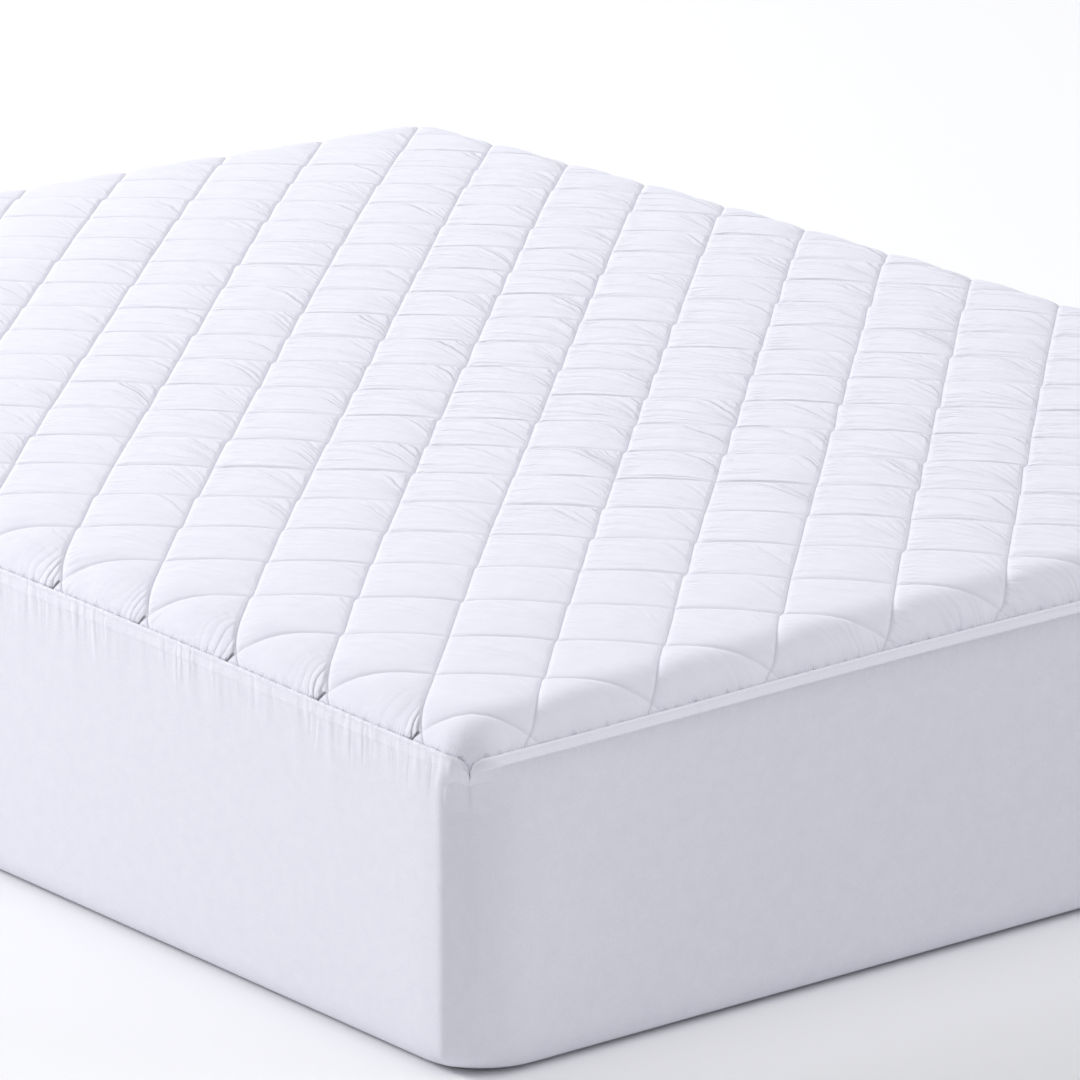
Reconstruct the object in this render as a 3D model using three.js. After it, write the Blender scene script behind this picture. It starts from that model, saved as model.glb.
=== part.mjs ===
// A queen-size quilted mattress protector, fitted over the plain mattress that holds it in shape.
// Millimetres, +X across the bed, +Y towards its head, +Z up. The origin is under the middle.
import * as THREE from 'three';

// Mattress
const mattressWidth = 1524;
const mattressLength = 2032;
const mattressHeight = 371; // to the level of its top at the sides
const crownRise = 12; // how much higher the middle of the top is
const crownPower = 6; // how far out the crown stays high
const cornerSag = 10.5; // how much lower the top is at its corners
const cornerSagReach = 440;

// Edge of the mattress, walked from the flat of its top, over the side and under
const rollLength = 70; // from the flat to the seam of the cloth
const rollTurn = THREE.MathUtils.degToRad(84); // slope of the top where the seam lies
const shoulderLength = 20; // from the seam to where the side hangs plumb
const bottomEdgeRadius = 25;
const topCornerRadius = 35; // corners in plan, at the seam
const bottomCornerRadius = 60; // and where the elastic draws the skirt in
const hemCornerRadius = 200;
const cornerEase = 18; // how much rounder the mattress is there than the cloth
const cornerPower = 2.4; // how softly the two rolls meet at a corner
const cornerBlockShare = 1.6; // corner radii over which a rounded corner is spread

// Cloth
const clearance = 2; // between the cloth and the mattress
const panelThickness = 2.5; // along the sewn channels
const skirtThickness = 1.5;
const seamGap = 1;
const allowanceWidth = 10; // seam allowance lying under the top of the skirt
const allowanceRise = 1;
const allowanceStep = 4; // over which the skirt comes down off it
const droopLength = 150; // how far down the skirt the uneven seam still shows
const hemReach = 80; // how far the skirt reaches in under the mattress
const hemFoldWidth = 22;
const hemFoldRise = 1.4;
const hemFoldStep = 2;

// Quilting: diamonds on a straight grid, cut at the seam
const diamondWidth = 152.4;
const diamondLength = 150.6;
const diamondsAcross = 10;
const diamondsAlong = 13.5;
const gridShift = 0.5; // from the corner to the first crossing along a side, in diamonds
const puffHeight = 7;
const puffPower = 0.7; // under 1 makes narrow channels between full diamonds
const seamPinch = 22; // width over which the filling thins out to the seam

// Grid of the cloth
const stepsPerDiamond = 4; // on the face
const edgeStep = 0.125; // one finer step beside the edge, in diamonds
const fineEdgeSteps = 3; // steps kept beside the edge on the underside and the mattress
const coarseSteps = 4; // steps joined into one elsewhere there
const coarseStart = 2;

// Gathers of the skirt under the seam, fuller along the sides than at the ends
const gatherDepth = 3.2;
const gatherShares = [0.2, 1, 0.35, 0.8, 0, 0.6, 0.95, 0.25, 0.7, 0.1];
const endGatherShare = 0.2;
const gatherFullAt = 50; // below the seam
const gatherEndAt = 110;
const hemGatherDepth = 4;

// Hollow kept on the underside of the mattress for the hem
const hemHollow = clearance + skirtThickness;
const hemHollowMargin = 6;

const halfWidth = mattressWidth / 2;
const halfLength = mattressLength / 2;
const quarterTurn = Math.PI / 2;
const walkStep = 0.5;

// Slope of the edge at a distance walked from the flat of the top: 0 is level, a quarter turn is
// plumb and a half turn is level again, underneath.
const seamAt = rollLength;
const plumbAt = seamAt + shoulderLength;
const turnLength = bottomEdgeRadius * quarterTurn;

function upperSlope(walked) {
  if (walked <= seamAt) return rollTurn * (walked / seamAt) ** 2;
  const share = Math.min((walked - seamAt) / shoulderLength, 1);
  return rollTurn + (quarterTurn - rollTurn) * share;
}

function upperDrop() {
  let drop = 0;
  for (let walked = 0; walked < plumbAt; walked += walkStep) {
    drop += Math.sin(upperSlope(walked + walkStep / 2)) * walkStep;
  }
  return drop;
}

const wallLength = mattressHeight - hemHollow - upperDrop() - bottomEdgeRadius;
const turnAt = plumbAt + wallLength;
const underAt = turnAt + turnLength;
const turnRows = [turnAt, turnAt + turnLength / 3, turnAt + (turnLength * 2) / 3, underAt];
const hemAt = underAt + hemReach;
const hollowAt = hemAt + hemHollowMargin;
const footAt = hollowAt + hemHollow;

function edgeSlope(walked) {
  if (walked <= turnAt) return upperSlope(walked);
  return quarterTurn + quarterTurn * Math.min((walked - turnAt) / turnLength, 1);
}

// Table of the walk: how far out of the flat and how far down each step ends
function walkEdge() {
  const steps = [{ out: 0, drop: 0 }];
  for (let walked = 0; walked < footAt + walkStep; walked += walkStep) {
    const slope = edgeSlope(walked + walkStep / 2);
    const last = steps[steps.length - 1];
    steps.push({
      out: last.out + Math.cos(slope) * walkStep,
      drop: last.drop + Math.sin(slope) * walkStep,
    });
  }
  return steps;
}

const edgeWalk = walkEdge();
const rollOut = edgeWalk[Math.round(plumbAt / walkStep)].out;
const flatHalfWidth = halfWidth - rollOut;
const flatHalfLength = halfLength - rollOut;
const panelHalfWidth = flatHalfWidth + seamAt;
const panelHalfLength = flatHalfLength + seamAt;

// Point of the edge: out is measured from the plumb side, lift stands off the mattress
function edgePoint(walked, lift) {
  if (walked <= 0) return { out: walked - rollOut, drop: 0, slope: 0 };
  const index = Math.floor(walked / walkStep);
  const share = walked / walkStep - index;
  const from = edgeWalk[index];
  const to = edgeWalk[index + 1];
  const slope = edgeSlope(walked);
  return {
    out: from.out + (to.out - from.out) * share - rollOut + Math.sin(slope) * lift,
    drop: from.drop + (to.drop - from.drop) * share,
    slope,
  };
}

// Level of the top: crowned in the middle, a little lower at the corners
function topLevel(x, y) {
  const crownX = 1 - Math.min(Math.abs(x) / halfWidth, 1) ** crownPower;
  const crownY = 1 - Math.min(Math.abs(y) / halfLength, 1) ** crownPower;
  const away = Math.hypot(halfWidth - Math.abs(x), halfLength - Math.abs(y));
  return crownRise * crownX * crownY - cornerSag * Math.exp(-((away / cornerSagReach) ** 2));
}

// Rounds the plan of a ring at a corner. The ring runs straight down to a rounded corner whose
// centre is radius in from both sides, and share says how far round towards the diagonal.
function cornerPlace(inset, share, radius, block) {
  const ringRadius = radius - inset;
  const straight = block - radius;
  const path = share * (straight + (ringRadius * Math.PI) / 4);
  if (path <= straight) return { inset, along: block - path };
  const angle = (path - straight) / ringRadius;
  return {
    inset: radius - ringRadius * Math.cos(angle),
    along: radius - ringRadius * Math.sin(angle),
  };
}

function roundedPlan(insetX, insetY) {
  const inset = Math.min(insetX, insetY);
  const along = Math.max(insetX, insetY);
  const block = topCornerRadius * cornerBlockShare;
  if (along >= block || inset >= topCornerRadius) return [insetX, insetY];
  const place = cornerPlace(inset, (block - along) / (block - inset), topCornerRadius, block);
  return insetX <= insetY ? [place.inset, place.along] : [place.along, place.inset];
}

const joinedDrop = (first, second) => (first ** cornerPower + second ** cornerPower) ** (1 / cornerPower);

// The two edges at a place measured on the flat cloth from its middle
const edgesAt = (across, along, lift) => [
  edgePoint(Math.abs(across) - flatHalfWidth, lift),
  edgePoint(Math.abs(along) - flatHalfLength, lift),
];

// Point over the top, at a place measured on the flat cloth from its middle
function topPoint(across, along, lift) {
  const [edgeX, edgeY] = edgesAt(across, along, lift);
  const [insetX, insetY] = roundedPlan(-edgeX.out, -edgeY.out);
  const x = Math.sign(across) * (halfWidth - insetX);
  const y = Math.sign(along) * (halfLength - insetY);
  const rise = lift * Math.cos(edgeX.slope) * Math.cos(edgeY.slope);
  const drop = joinedDrop(edgeX.drop, edgeY.drop);
  return new THREE.Vector3(x, y, mattressHeight - drop + topLevel(x, y) + rise);
}

// Corner radius of the side at a walked distance, growing down to the elastic hem
function cornerRadiusAt(walked) {
  const down = THREE.MathUtils.clamp((walked - plumbAt) / wallLength, 0, 1);
  const under = THREE.MathUtils.clamp((walked - turnAt) / (hemAt - turnAt), 0, 1);
  const wallRadius = THREE.MathUtils.lerp(topCornerRadius, bottomCornerRadius, down);
  return THREE.MathUtils.lerp(wallRadius, hemCornerRadius, under);
}

// A column of the side, standing under one point of the seam
function seamColumn(across, along, onLongSide, lift) {
  const [edgeX, edgeY] = edgesAt(across, along, lift);
  const [seam, other] = onLongSide ? [edgeX, edgeY] : [edgeY, edgeX];
  return {
    signX: Math.sign(across),
    signY: Math.sign(along),
    onLongSide,
    inset: -seam.out,
    along: -other.out,
    notch: joinedDrop(seam.drop, other.drop) - seam.drop,
    levelShare: Math.cos(other.slope),
  };
}

function sidePoint(column, walked, lift, push = 0, ease = 0) {
  const edge = edgePoint(walked, lift);
  const radius = cornerRadiusAt(walked) + ease * Math.min((walked - seamAt) / shoulderLength, 1);
  const block = radius * cornerBlockShare;
  const inset = -edge.out - push;
  const share = (block - column.along) / (block - column.inset);
  const place = share > 0 ? cornerPlace(inset, share, radius, block) : { inset, along: column.along };
  const [insetX, insetY] = column.onLongSide ? [place.inset, place.along] : [place.along, place.inset];
  const x = column.signX * (halfWidth - insetX);
  const y = column.signY * (halfLength - insetY);
  const droop = THREE.MathUtils.clamp(1 - (walked - seamAt) / droopLength, 0, 1);
  const rise = Math.cos(edge.slope) * lift;
  const z = mattressHeight - edge.drop + (topLevel(x, y) - column.notch) * droop;
  return new THREE.Vector3(x, y, z + (rise > 0 ? rise * column.levelShare : rise));
}

// Lines of the cloth grid in one direction: the seam, the edge of the diamonds' grid, a finer step
// beside it, and then either every step or, away from the edge, one in so many
function clothLines(diamonds, size, panelHalf, stepsApart) {
  const half = diamonds / 2;
  const edge = [-panelHalf, -half * size, (edgeStep - half) * size];
  const inner = [];
  const stepCount = diamonds * stepsPerDiamond;
  for (let step = 1; step < stepCount; step += 1) {
    const nearEdge = Math.min(step, stepCount - step) <= fineEdgeSteps;
    if (nearEdge || (step - coarseStart) % stepsApart === 0) {
      inner.push((step / stepsPerDiamond - half) * size);
    }
  }
  return [...edge, ...inner, ...edge.map((line) => -line).reverse()];
}

const faceLinesX = clothLines(diamondsAcross, diamondWidth, panelHalfWidth, 1);
const faceLinesY = clothLines(diamondsAlong, diamondLength, panelHalfLength, 1);
const backLinesX = clothLines(diamondsAcross, diamondWidth, panelHalfWidth, coarseSteps);
const backLinesY = clothLines(diamondsAlong, diamondLength, panelHalfLength, coarseSteps);

// How far a place on the cloth lies from the nearest sewn line of each direction, in diamonds
function awayFromLines(across, along) {
  const a = across / diamondWidth + diamondsAcross / 2;
  const b = along / diamondLength + diamondsAlong / 2;
  const away = (count) => Math.abs(count - Math.round(count));
  return { steep: away(a - b + gridShift), flat: away(a + b - gridShift) };
}

// Height of the filling at a place on the cloth: nothing along the channels and at the seam
function puff(across, along) {
  const { steep, flat } = awayFromLines(across, along);
  const swell = (away) => (1 - (1 - 2 * away) ** 2) ** puffPower;
  const fromSeam = Math.min(panelHalfWidth - Math.abs(across), panelHalfLength - Math.abs(along));
  return puffHeight * swell(steep) * swell(flat) * (1 - Math.exp(-fromSeam / seamPinch));
}

// A closed skin of triangles that share their corners
class Skin {
  constructor() {
    this.points = [];
    this.triangles = [];
  }

  add(point) {
    this.points.push(point);
    return this.points.length - 1;
  }

  quad(a, b, c, d) {
    this.triangles.push([a, b, c], [a, c, d]);
  }

  toGeometry() {
    const geometry = new THREE.BufferGeometry();
    const positions = this.points.flatMap((point) => [point.x, point.y, point.z]);
    geometry.setAttribute('position', new THREE.Float32BufferAttribute(positions, 3));
    geometry.setIndex(this.triangles.flat());
    geometry.computeVertexNormals();
    return geometry;
  }
}

// Lays a sheet over the top on a grid of cloth lines, face up or face down. The diagonal of each
// grid square follows the nearer sewn line.
function layGrid(skin, linesX, linesY, liftAt, faceUp) {
  const grid = linesX.map((across) =>
    linesY.map((along) => skin.add(topPoint(across, along, liftAt(across, along)))),
  );
  for (let i = 0; i + 1 < linesX.length; i += 1) {
    for (let j = 0; j + 1 < linesY.length; j += 1) {
      const square = [grid[i][j], grid[i + 1][j], grid[i + 1][j + 1], grid[i][j + 1]];
      const middleX = (linesX[i] + linesX[i + 1]) / 2;
      const middleY = (linesY[j] + linesY[j + 1]) / 2;
      const { steep, flat } = awayFromLines(middleX, middleY);
      if (steep >= flat) square.push(square.shift());
      const [a, b, c, d] = square;
      if (faceUp) skin.quad(a, b, c, d);
      else skin.quad(a, d, c, b);
    }
  }
  return grid;
}

// The border of a grid, anticlockwise from above, each entry with its place on the cloth
function borderOf(linesX, linesY) {
  const lastX = linesX.length - 1;
  const lastY = linesY.length - 1;
  const border = [];
  for (let i = 0; i < lastX; i += 1) border.push({ i, j: 0, onLongSide: false });
  for (let j = 0; j < lastY; j += 1) border.push({ i: lastX, j, onLongSide: true });
  for (let i = lastX; i > 0; i -= 1) border.push({ i, j: lastY, onLongSide: false });
  for (let j = lastY; j > 0; j -= 1) border.push({ i: 0, j, onLongSide: true });
  return border.map((entry) => ({ ...entry, across: linesX[entry.i], along: linesY[entry.j] }));
}

// Joins the fine border of the face to the coarse border of the back along the seam
function closeSeam(skin, faceBorder, faceGrid, backBorder, backGrid) {
  const faceCount = faceBorder.length;
  const samePlace = (one, other) => one.across === other.across && one.along === other.along;
  backBorder.forEach((from, k) => {
    const to = backBorder[(k + 1) % backBorder.length];
    const backFrom = backGrid[from.i][from.j];
    const backTo = backGrid[to.i][to.j];
    let index = faceBorder.findIndex((entry) => samePlace(entry, from));
    while (!samePlace(faceBorder[index % faceCount], to)) {
      const here = faceBorder[index % faceCount];
      const next = faceBorder[(index + 1) % faceCount];
      skin.triangles.push([backFrom, faceGrid[next.i][next.j], faceGrid[here.i][here.j]]);
      index += 1;
    }
    const last = faceBorder[index % faceCount];
    skin.triangles.push([backFrom, backTo, faceGrid[last.i][last.j]]);
  });
}

// The quilted panel: a face raised in diamonds over a plain back
function makeQuiltedTop() {
  const skin = new Skin();
  const faceLift = (across, along) => clearance + panelThickness + puff(across, along);
  const faceGrid = layGrid(skin, faceLinesX, faceLinesY, faceLift, true);
  const backGrid = layGrid(skin, backLinesX, backLinesY, () => clearance, false);
  const faceBorder = borderOf(faceLinesX, faceLinesY);
  const backBorder = borderOf(backLinesX, backLinesY);
  closeSeam(skin, faceBorder, faceGrid, backBorder, backGrid);
  return skin.toGeometry();
}

// Section of the skirt: rows down its outside, then back up its inside. Extra stands off the rest
// of the sheet, and gather says how much of the gathers a row takes.
const foldAt = hemAt - hemFoldWidth;
const skirtOutside = [
  { walked: seamAt + seamGap, extra: allowanceRise },
  { walked: seamAt + allowanceWidth, extra: allowanceRise, gather: 0.4 },
  { walked: seamAt + allowanceWidth + allowanceStep, gather: 0.8 },
  { walked: seamAt + gatherFullAt, gather: 1 },
  { walked: seamAt + gatherEndAt, gather: 0.35 },
  ...turnRows.map((walked) => ({ walked })),
  { walked: hemAt, hemGather: 1 },
];
const skirtInside = [
  { walked: hemAt, extra: -hemFoldRise, hemGather: 1 },
  { walked: foldAt, extra: -hemFoldRise },
  { walked: foldAt - hemFoldStep },
  ...turnRows.map((walked) => ({ walked })).reverse(),
  { walked: seamAt + gatherEndAt },
  { walked: plumbAt },
  { walked: seamAt + seamGap },
];

// The skirt: one band sewn on round the panel, gathered under the seam and turned in at its hem
function makeSkirt() {
  const skin = new Skin();
  const columns = borderOf(faceLinesX, faceLinesY).map((entry, k) => {
    const column = seamColumn(entry.across, entry.along, entry.onLongSide, clearance);
    const fullness = gatherShares[k % gatherShares.length];
    const gather = fullness * gatherDepth * (entry.onLongSide ? 1 : endGatherShare);
    const addRow = (row, lift) => {
      const push = (row.gather ?? 0) * gather - (row.hemGather ?? 0) * fullness * hemGatherDepth;
      return skin.add(sidePoint(column, row.walked, lift + (row.extra ?? 0), push));
    };
    return [
      ...skirtOutside.map((row) => addRow(row, clearance + skirtThickness)),
      ...skirtInside.map((row) => addRow(row, clearance)),
    ];
  });
  columns.forEach((here, k) => {
    const next = columns[(k + 1) % columns.length];
    here.forEach((point, row) => {
      const below = (row + 1) % here.length;
      skin.quad(point, here[below], next[below], next[row]);
    });
  });
  return skin.toGeometry();
}

// Rows down the side of the mattress, to the hollow that takes the hem
const mattressRows = [
  seamAt + shoulderLength / 2,
  plumbAt,
  seamAt + gatherEndAt,
  ...turnRows,
  hollowAt,
];

// The mattress: a crowned block with rounded edges, flat where it stands
function makeMattress() {
  const skin = new Skin();
  const topGrid = layGrid(skin, backLinesX, backLinesY, () => 0, true);
  const border = borderOf(backLinesX, backLinesY);
  const columns = border.map((entry) => seamColumn(entry.across, entry.along, entry.onLongSide, 0));
  const ringAt = (walked) => columns.map((column) => sidePoint(column, walked, 0, 0, cornerEase));
  const rings = [
    border.map((entry) => topGrid[entry.i][entry.j]),
    ...mattressRows.map((walked) => ringAt(walked).map((point) => skin.add(point))),
    ringAt(footAt).map((point) => skin.add(point.setZ(0))),
  ];
  for (let row = 0; row + 1 < rings.length; row += 1) {
    rings[row].forEach((point, k) => {
      const next = (k + 1) % columns.length;
      skin.quad(point, rings[row + 1][k], rings[row + 1][next], rings[row][next]);
    });
  }
  const foot = rings[rings.length - 1];
  const outline = foot.map((index) => new THREE.Vector2(skin.points[index].x, skin.points[index].y));
  THREE.ShapeUtils.triangulateShape(outline, []).forEach(([a, b, c]) => {
    skin.triangles.push([foot[a], foot[c], foot[b]]);
  });
  return skin.toGeometry();
}

const quiltedCotton = new THREE.MeshStandardMaterial({ color: 0xeeeef7, roughness: 0.85, metalness: 0 });
const stretchKnit = new THREE.MeshStandardMaterial({ color: 0xe6e6ee, roughness: 0.9, metalness: 0 });
const mattressTicking = new THREE.MeshStandardMaterial({ color: 0xe2dfd8, roughness: 0.9, metalness: 0 });

function namedMesh(name, geometry, material) {
  const mesh = new THREE.Mesh(geometry, material);
  mesh.name = name;
  return mesh;
}

const group = new THREE.Group();
group.add(namedMesh('quilted_top', makeQuiltedTop(), quiltedCotton));
group.add(namedMesh('skirt', makeSkirt(), stretchKnit));
group.add(namedMesh('mattress', makeMattress(), mattressTicking));

export default group;
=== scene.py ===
import math
from functools import partial

import bmesh
import bpy
import numpy as np
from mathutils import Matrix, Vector, geometry


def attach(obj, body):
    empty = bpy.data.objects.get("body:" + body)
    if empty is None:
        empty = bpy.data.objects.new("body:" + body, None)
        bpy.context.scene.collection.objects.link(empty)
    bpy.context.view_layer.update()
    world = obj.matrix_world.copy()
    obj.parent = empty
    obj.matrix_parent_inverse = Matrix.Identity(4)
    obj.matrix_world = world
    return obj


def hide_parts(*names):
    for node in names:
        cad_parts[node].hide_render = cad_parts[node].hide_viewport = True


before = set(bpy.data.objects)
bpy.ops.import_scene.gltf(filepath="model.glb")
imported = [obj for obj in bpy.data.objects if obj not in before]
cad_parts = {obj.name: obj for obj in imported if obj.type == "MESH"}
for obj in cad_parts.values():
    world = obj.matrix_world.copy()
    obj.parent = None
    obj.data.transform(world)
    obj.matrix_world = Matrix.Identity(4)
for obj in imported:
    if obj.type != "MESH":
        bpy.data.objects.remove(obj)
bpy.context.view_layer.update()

# camera: the photo's own angle, from one corner and a little above
camera = {
    "place": (-4.989, -6.410, 2.5955),
    "turn": 38.66,  # degrees clockwise from +Y
    "down": 16.57,
    "lens": 250.8,  # mm
    "sensor": 36,
    "sees": (0.1, 100),  # metres
}


def makeCamera():
    data = bpy.data.cameras.new("camera")
    data.lens = camera["lens"]
    data.sensor_width = camera["sensor"]
    data.clip_start, data.clip_end = camera["sees"]
    made = bpy.data.objects.new("camera", data)
    made.location = camera["place"]
    made.rotation_euler = (math.radians(90 - camera["down"]), 0, math.radians(-camera["turn"]))
    bpy.context.scene.collection.objects.link(made)
    bpy.context.scene.camera = made


makeCamera()
print("camera placed")

# the bed's form, in metres
bed = {
    "width": 1.524,
    "length": 2.032,
    "height": 0.371,  # to the level of the top at the sides
    "crownRise": 0.012,
    "crownPower": 6,
    "cornerSag": 0.0105,
    "cornerSagReach": 0.44,
    "rollLength": 0.07,  # from the flat of the top to the seam
    "rollTurn": math.radians(84),
    "shoulder": 0.02,
    "bottomRadius": 0.025,
    "topCorner": 0.035,
    "lowerCorner": 0.06,
    "hemCorner": 0.2,
    "cornerEase": 0.018,  # how much rounder the mattress is than the cloth
    "cornerPower": 2.4,
    "cornerSpread": 1.6,
    "hemReach": 0.08,
    "hemHollow": 0.0035,
    "droop": 0.15,  # how far down the skirt the uneven seam shows
    "walkStep": 0.0005,  # of the sums along the cloth
    "walkPast": 0.03,
}
halfWidth = bed["width"] / 2
halfLength = bed["length"] / 2
quarterTurn = math.pi / 2
seamAt = bed["rollLength"]
plumbAt = seamAt + bed["shoulder"]
walkStep = bed["walkStep"]


def upperSlope(walked):
    roll = bed["rollTurn"] * (np.clip(walked, 0, seamAt) / seamAt) ** 2
    rest = quarterTurn - bed["rollTurn"]
    return roll + rest * np.clip((walked - seamAt) / bed["shoulder"], 0, 1)


upperSteps = np.arange(0, plumbAt, walkStep) + walkStep / 2
upperDrop = float(np.sin(upperSlope(upperSteps)).sum() * walkStep)
wallLength = bed["height"] - bed["hemHollow"] - upperDrop - bed["bottomRadius"]
turnAt = plumbAt + wallLength
turnLength = bed["bottomRadius"] * quarterTurn
underAt = turnAt + turnLength
hemAt = underAt + bed["hemReach"]


def edgeSlope(walked):
    turn = quarterTurn * np.clip((walked - turnAt) / turnLength, 0, 1)
    return upperSlope(walked) + turn


walkPlaces = np.arange(0, hemAt + bed["walkPast"], walkStep)
walkSlopes = edgeSlope(walkPlaces[:-1] + walkStep / 2)
walkOut = np.concatenate([[0], np.cumsum(np.cos(walkSlopes) * walkStep)])
walkDrop = np.concatenate([[0], np.cumsum(np.sin(walkSlopes) * walkStep)])
rollOut = float(np.interp(plumbAt, walkPlaces, walkOut))
flatHalfWidth = halfWidth - rollOut
flatHalfLength = halfLength - rollOut
panelHalfWidth = flatHalfWidth + seamAt
panelHalfLength = flatHalfLength + seamAt


def edgePoint(walked, lift):
    # how far out and down the cloth is after a walk over the bed's edge, and how steep
    slope = edgeSlope(walked)
    out = np.where(walked <= 0, walked, np.interp(walked, walkPlaces, walkOut))
    drop = np.interp(walked, walkPlaces, walkDrop)
    return out - rollOut + np.sin(slope) * lift, drop, slope


def topLevel(x, y):
    crownX = 1 - np.minimum(abs(x) / halfWidth, 1) ** bed["crownPower"]
    crownY = 1 - np.minimum(abs(y) / halfLength, 1) ** bed["crownPower"]
    away = np.hypot(halfWidth - abs(x), halfLength - abs(y))
    sag = bed["cornerSag"] * np.exp(-((away / bed["cornerSagReach"]) ** 2))
    return bed["crownRise"] * crownX * crownY - sag


def roundCorner(inset, along, startInset, radius):
    # rounds a ring in plan near a corner: inset from its own side, along from the other side
    block = radius * bed["cornerSpread"]
    share = (block - along) / (block - startInset)
    ringRadius = radius - inset
    straight = block - radius
    path = share * (straight + ringRadius * math.pi / 4)
    angle = np.clip((path - straight) / np.where(ringRadius > 0, ringRadius, 1), 0, quarterTurn)
    turned = (path > straight) & (ringRadius > 0) & (share > 0)
    newInset = np.where(turned, radius - ringRadius * np.cos(angle), inset)
    unturned = np.where(share > 0, block - path, along)
    return newInset, np.where(turned, radius - ringRadius * np.sin(angle), unturned)


corner = {
    "easeTurn": math.radians(4),  # the walls begin to turn gently
    "easeLength": 0.04,
    "crispTurn": math.radians(38),  # then over a short way at the long side
    "crispLength": 0.007,
    "facetLength": 0.015,  # nearly flat
    "softLength": 0.062,  # and the rest more softly towards the end
    "steps": 600,
    "block": 0.12,
    "startsBelowSeam": 0.004,
    "fullBelowSeam": 0.045,
    "easeShare": 0.5,  # of the mattress's rounder corner
    "dip": 0.010,  # the seam is drawn down in a notch at each corner
    "dipReach": 0.009,
    "dipRounding": 0.009,  # of the cloth just under the notch
    "roundedBelow": 0.007,
    "levelBelow": 0.012,
}


def cornerProfile():
    # plan of the wall round a corner, as insets from the long side and from the end
    stretches = ("easeLength", "crispLength", "facetLength", "softLength", "easeLength")
    lengths = [corner[key] for key in stretches]
    rest = quarterTurn - corner["crispTurn"] - 2 * corner["easeTurn"]
    turns = [corner["easeTurn"], corner["crispTurn"], 0, rest, corner["easeTurn"]]
    path = np.linspace(0, sum(lengths), corner["steps"] + 1)
    middle = (path[1:] + path[:-1]) / 2
    turn, start = 0 * middle, 0
    for length, amount in zip(lengths, turns):
        turn += amount * np.clip((middle - start) / length, 0, 1)
        start += length
    step = path[-1] / corner["steps"]
    fromLong = np.concatenate([[0], np.cumsum(np.sin(turn) * step)])
    fromEnd = np.concatenate([[0], np.cumsum(np.cos(turn) * step)])
    return path, fromLong, fromEnd[-1] - fromEnd, np.interp(path, middle, turn)


profilePath, profileFromLong, profileFromEnd, profileTurn = cornerProfile()


def creasedCorner(columns, inset):
    # insets from the long side and from the end for wall points near a corner
    block, whole = corner["block"], profilePath[-1]
    beside, own = columns["along"] + 0 * inset, columns["inset"] + 0 * inset
    share = (block - beside) / (block - own)
    straightLong, straightEnd = block - profileFromEnd[0], block - profileFromLong[-1]
    middle = (straightEnd - straightLong + whole) / 2
    longPath = share * (straightLong + middle) - straightLong
    endPath = share * (straightEnd + whole - middle) - straightEnd
    onLong = columns["onLongSide"]
    place = np.where(onLong, longPath, whole - endPath)
    turn = np.interp(place, profilePath, profileTurn)
    turn = np.where(place < 0, 0, np.where(place > whole, quarterTurn, turn))
    fromLong = np.interp(place, profilePath, profileFromLong) + np.maximum(place - whole, 0)
    fromEnd = np.interp(place, profilePath, profileFromEnd) - np.minimum(place, 0)
    outside = share <= 0
    straightX, straightY = np.where(onLong, inset, beside), np.where(onLong, beside, inset)
    insetLong = np.where(outside, straightX, fromLong + inset * np.cos(turn))
    insetEnd = np.where(outside, straightY, fromEnd + inset * np.sin(turn))
    return insetLong, insetEnd


def cornerDip(toCorner):
    return corner["dip"] * np.exp(-toCorner / corner["dipReach"])


def joinedDrop(first, second):
    power = bed["cornerPower"]
    return (first**power + second**power) ** (1 / power)


def topPoint(across, along, lift):
    outX, dropX, slopeX = edgePoint(abs(across) - flatHalfWidth, lift)
    outY, dropY, slopeY = edgePoint(abs(along) - flatHalfLength, lift)
    inset, beside = np.minimum(-outX, -outY), np.maximum(-outX, -outY)
    near = (beside < bed["topCorner"] * bed["cornerSpread"]) & (inset < bed["topCorner"])
    rounded, besideRounded = roundCorner(inset, beside, inset, bed["topCorner"])
    inset, beside = np.where(near, rounded, inset), np.where(near, besideRounded, beside)
    sideFirst = -outX <= -outY
    x = np.sign(across) * (halfWidth - np.where(sideFirst, inset, beside))
    y = np.sign(along) * (halfLength - np.where(sideFirst, beside, inset))
    rise = lift * np.cos(slopeX) * np.cos(slopeY)
    toCorner = panelHalfWidth - abs(across) + panelHalfLength - abs(along)
    z = bed["height"] - joinedDrop(dropX, dropY) - cornerDip(toCorner) + topLevel(x, y) + rise
    return np.stack([x, y, z], axis=-1)


def cornerRadiusAt(walked):
    down = np.clip((walked - plumbAt) / wallLength, 0, 1)
    under = np.clip((walked - turnAt) / (hemAt - turnAt), 0, 1)
    wall = bed["topCorner"] + (bed["lowerCorner"] - bed["topCorner"]) * down
    return wall + (bed["hemCorner"] - wall) * under


def sideColumns(across, along, onLongSide, lift):
    # one column of the side under each point of the seam
    outX, dropX, slopeX = edgePoint(abs(across) - flatHalfWidth, lift)
    outY, dropY, slopeY = edgePoint(abs(along) - flatHalfLength, lift)
    seamDrop = np.where(onLongSide, dropX, dropY)
    toCorner = np.where(onLongSide, panelHalfLength - abs(along), panelHalfWidth - abs(across))
    rounded = np.hypot(toCorner, corner["dipRounding"])
    roundedDrop = edgePoint(seamAt - rounded, lift)[1]
    return {
        "signX": np.sign(across),
        "signY": np.sign(along),
        "onLongSide": onLongSide,
        "inset": -np.where(onLongSide, outX, outY),
        "along": -np.where(onLongSide, outY, outX),
        "notch": joinedDrop(dropX, dropY) + cornerDip(toCorner) - seamDrop,
        "softNotch": joinedDrop(seamDrop, roundedDrop) + cornerDip(rounded) - seamDrop,
        "levelShare": np.cos(np.where(onLongSide, slopeY, slopeX)),
    }


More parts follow.
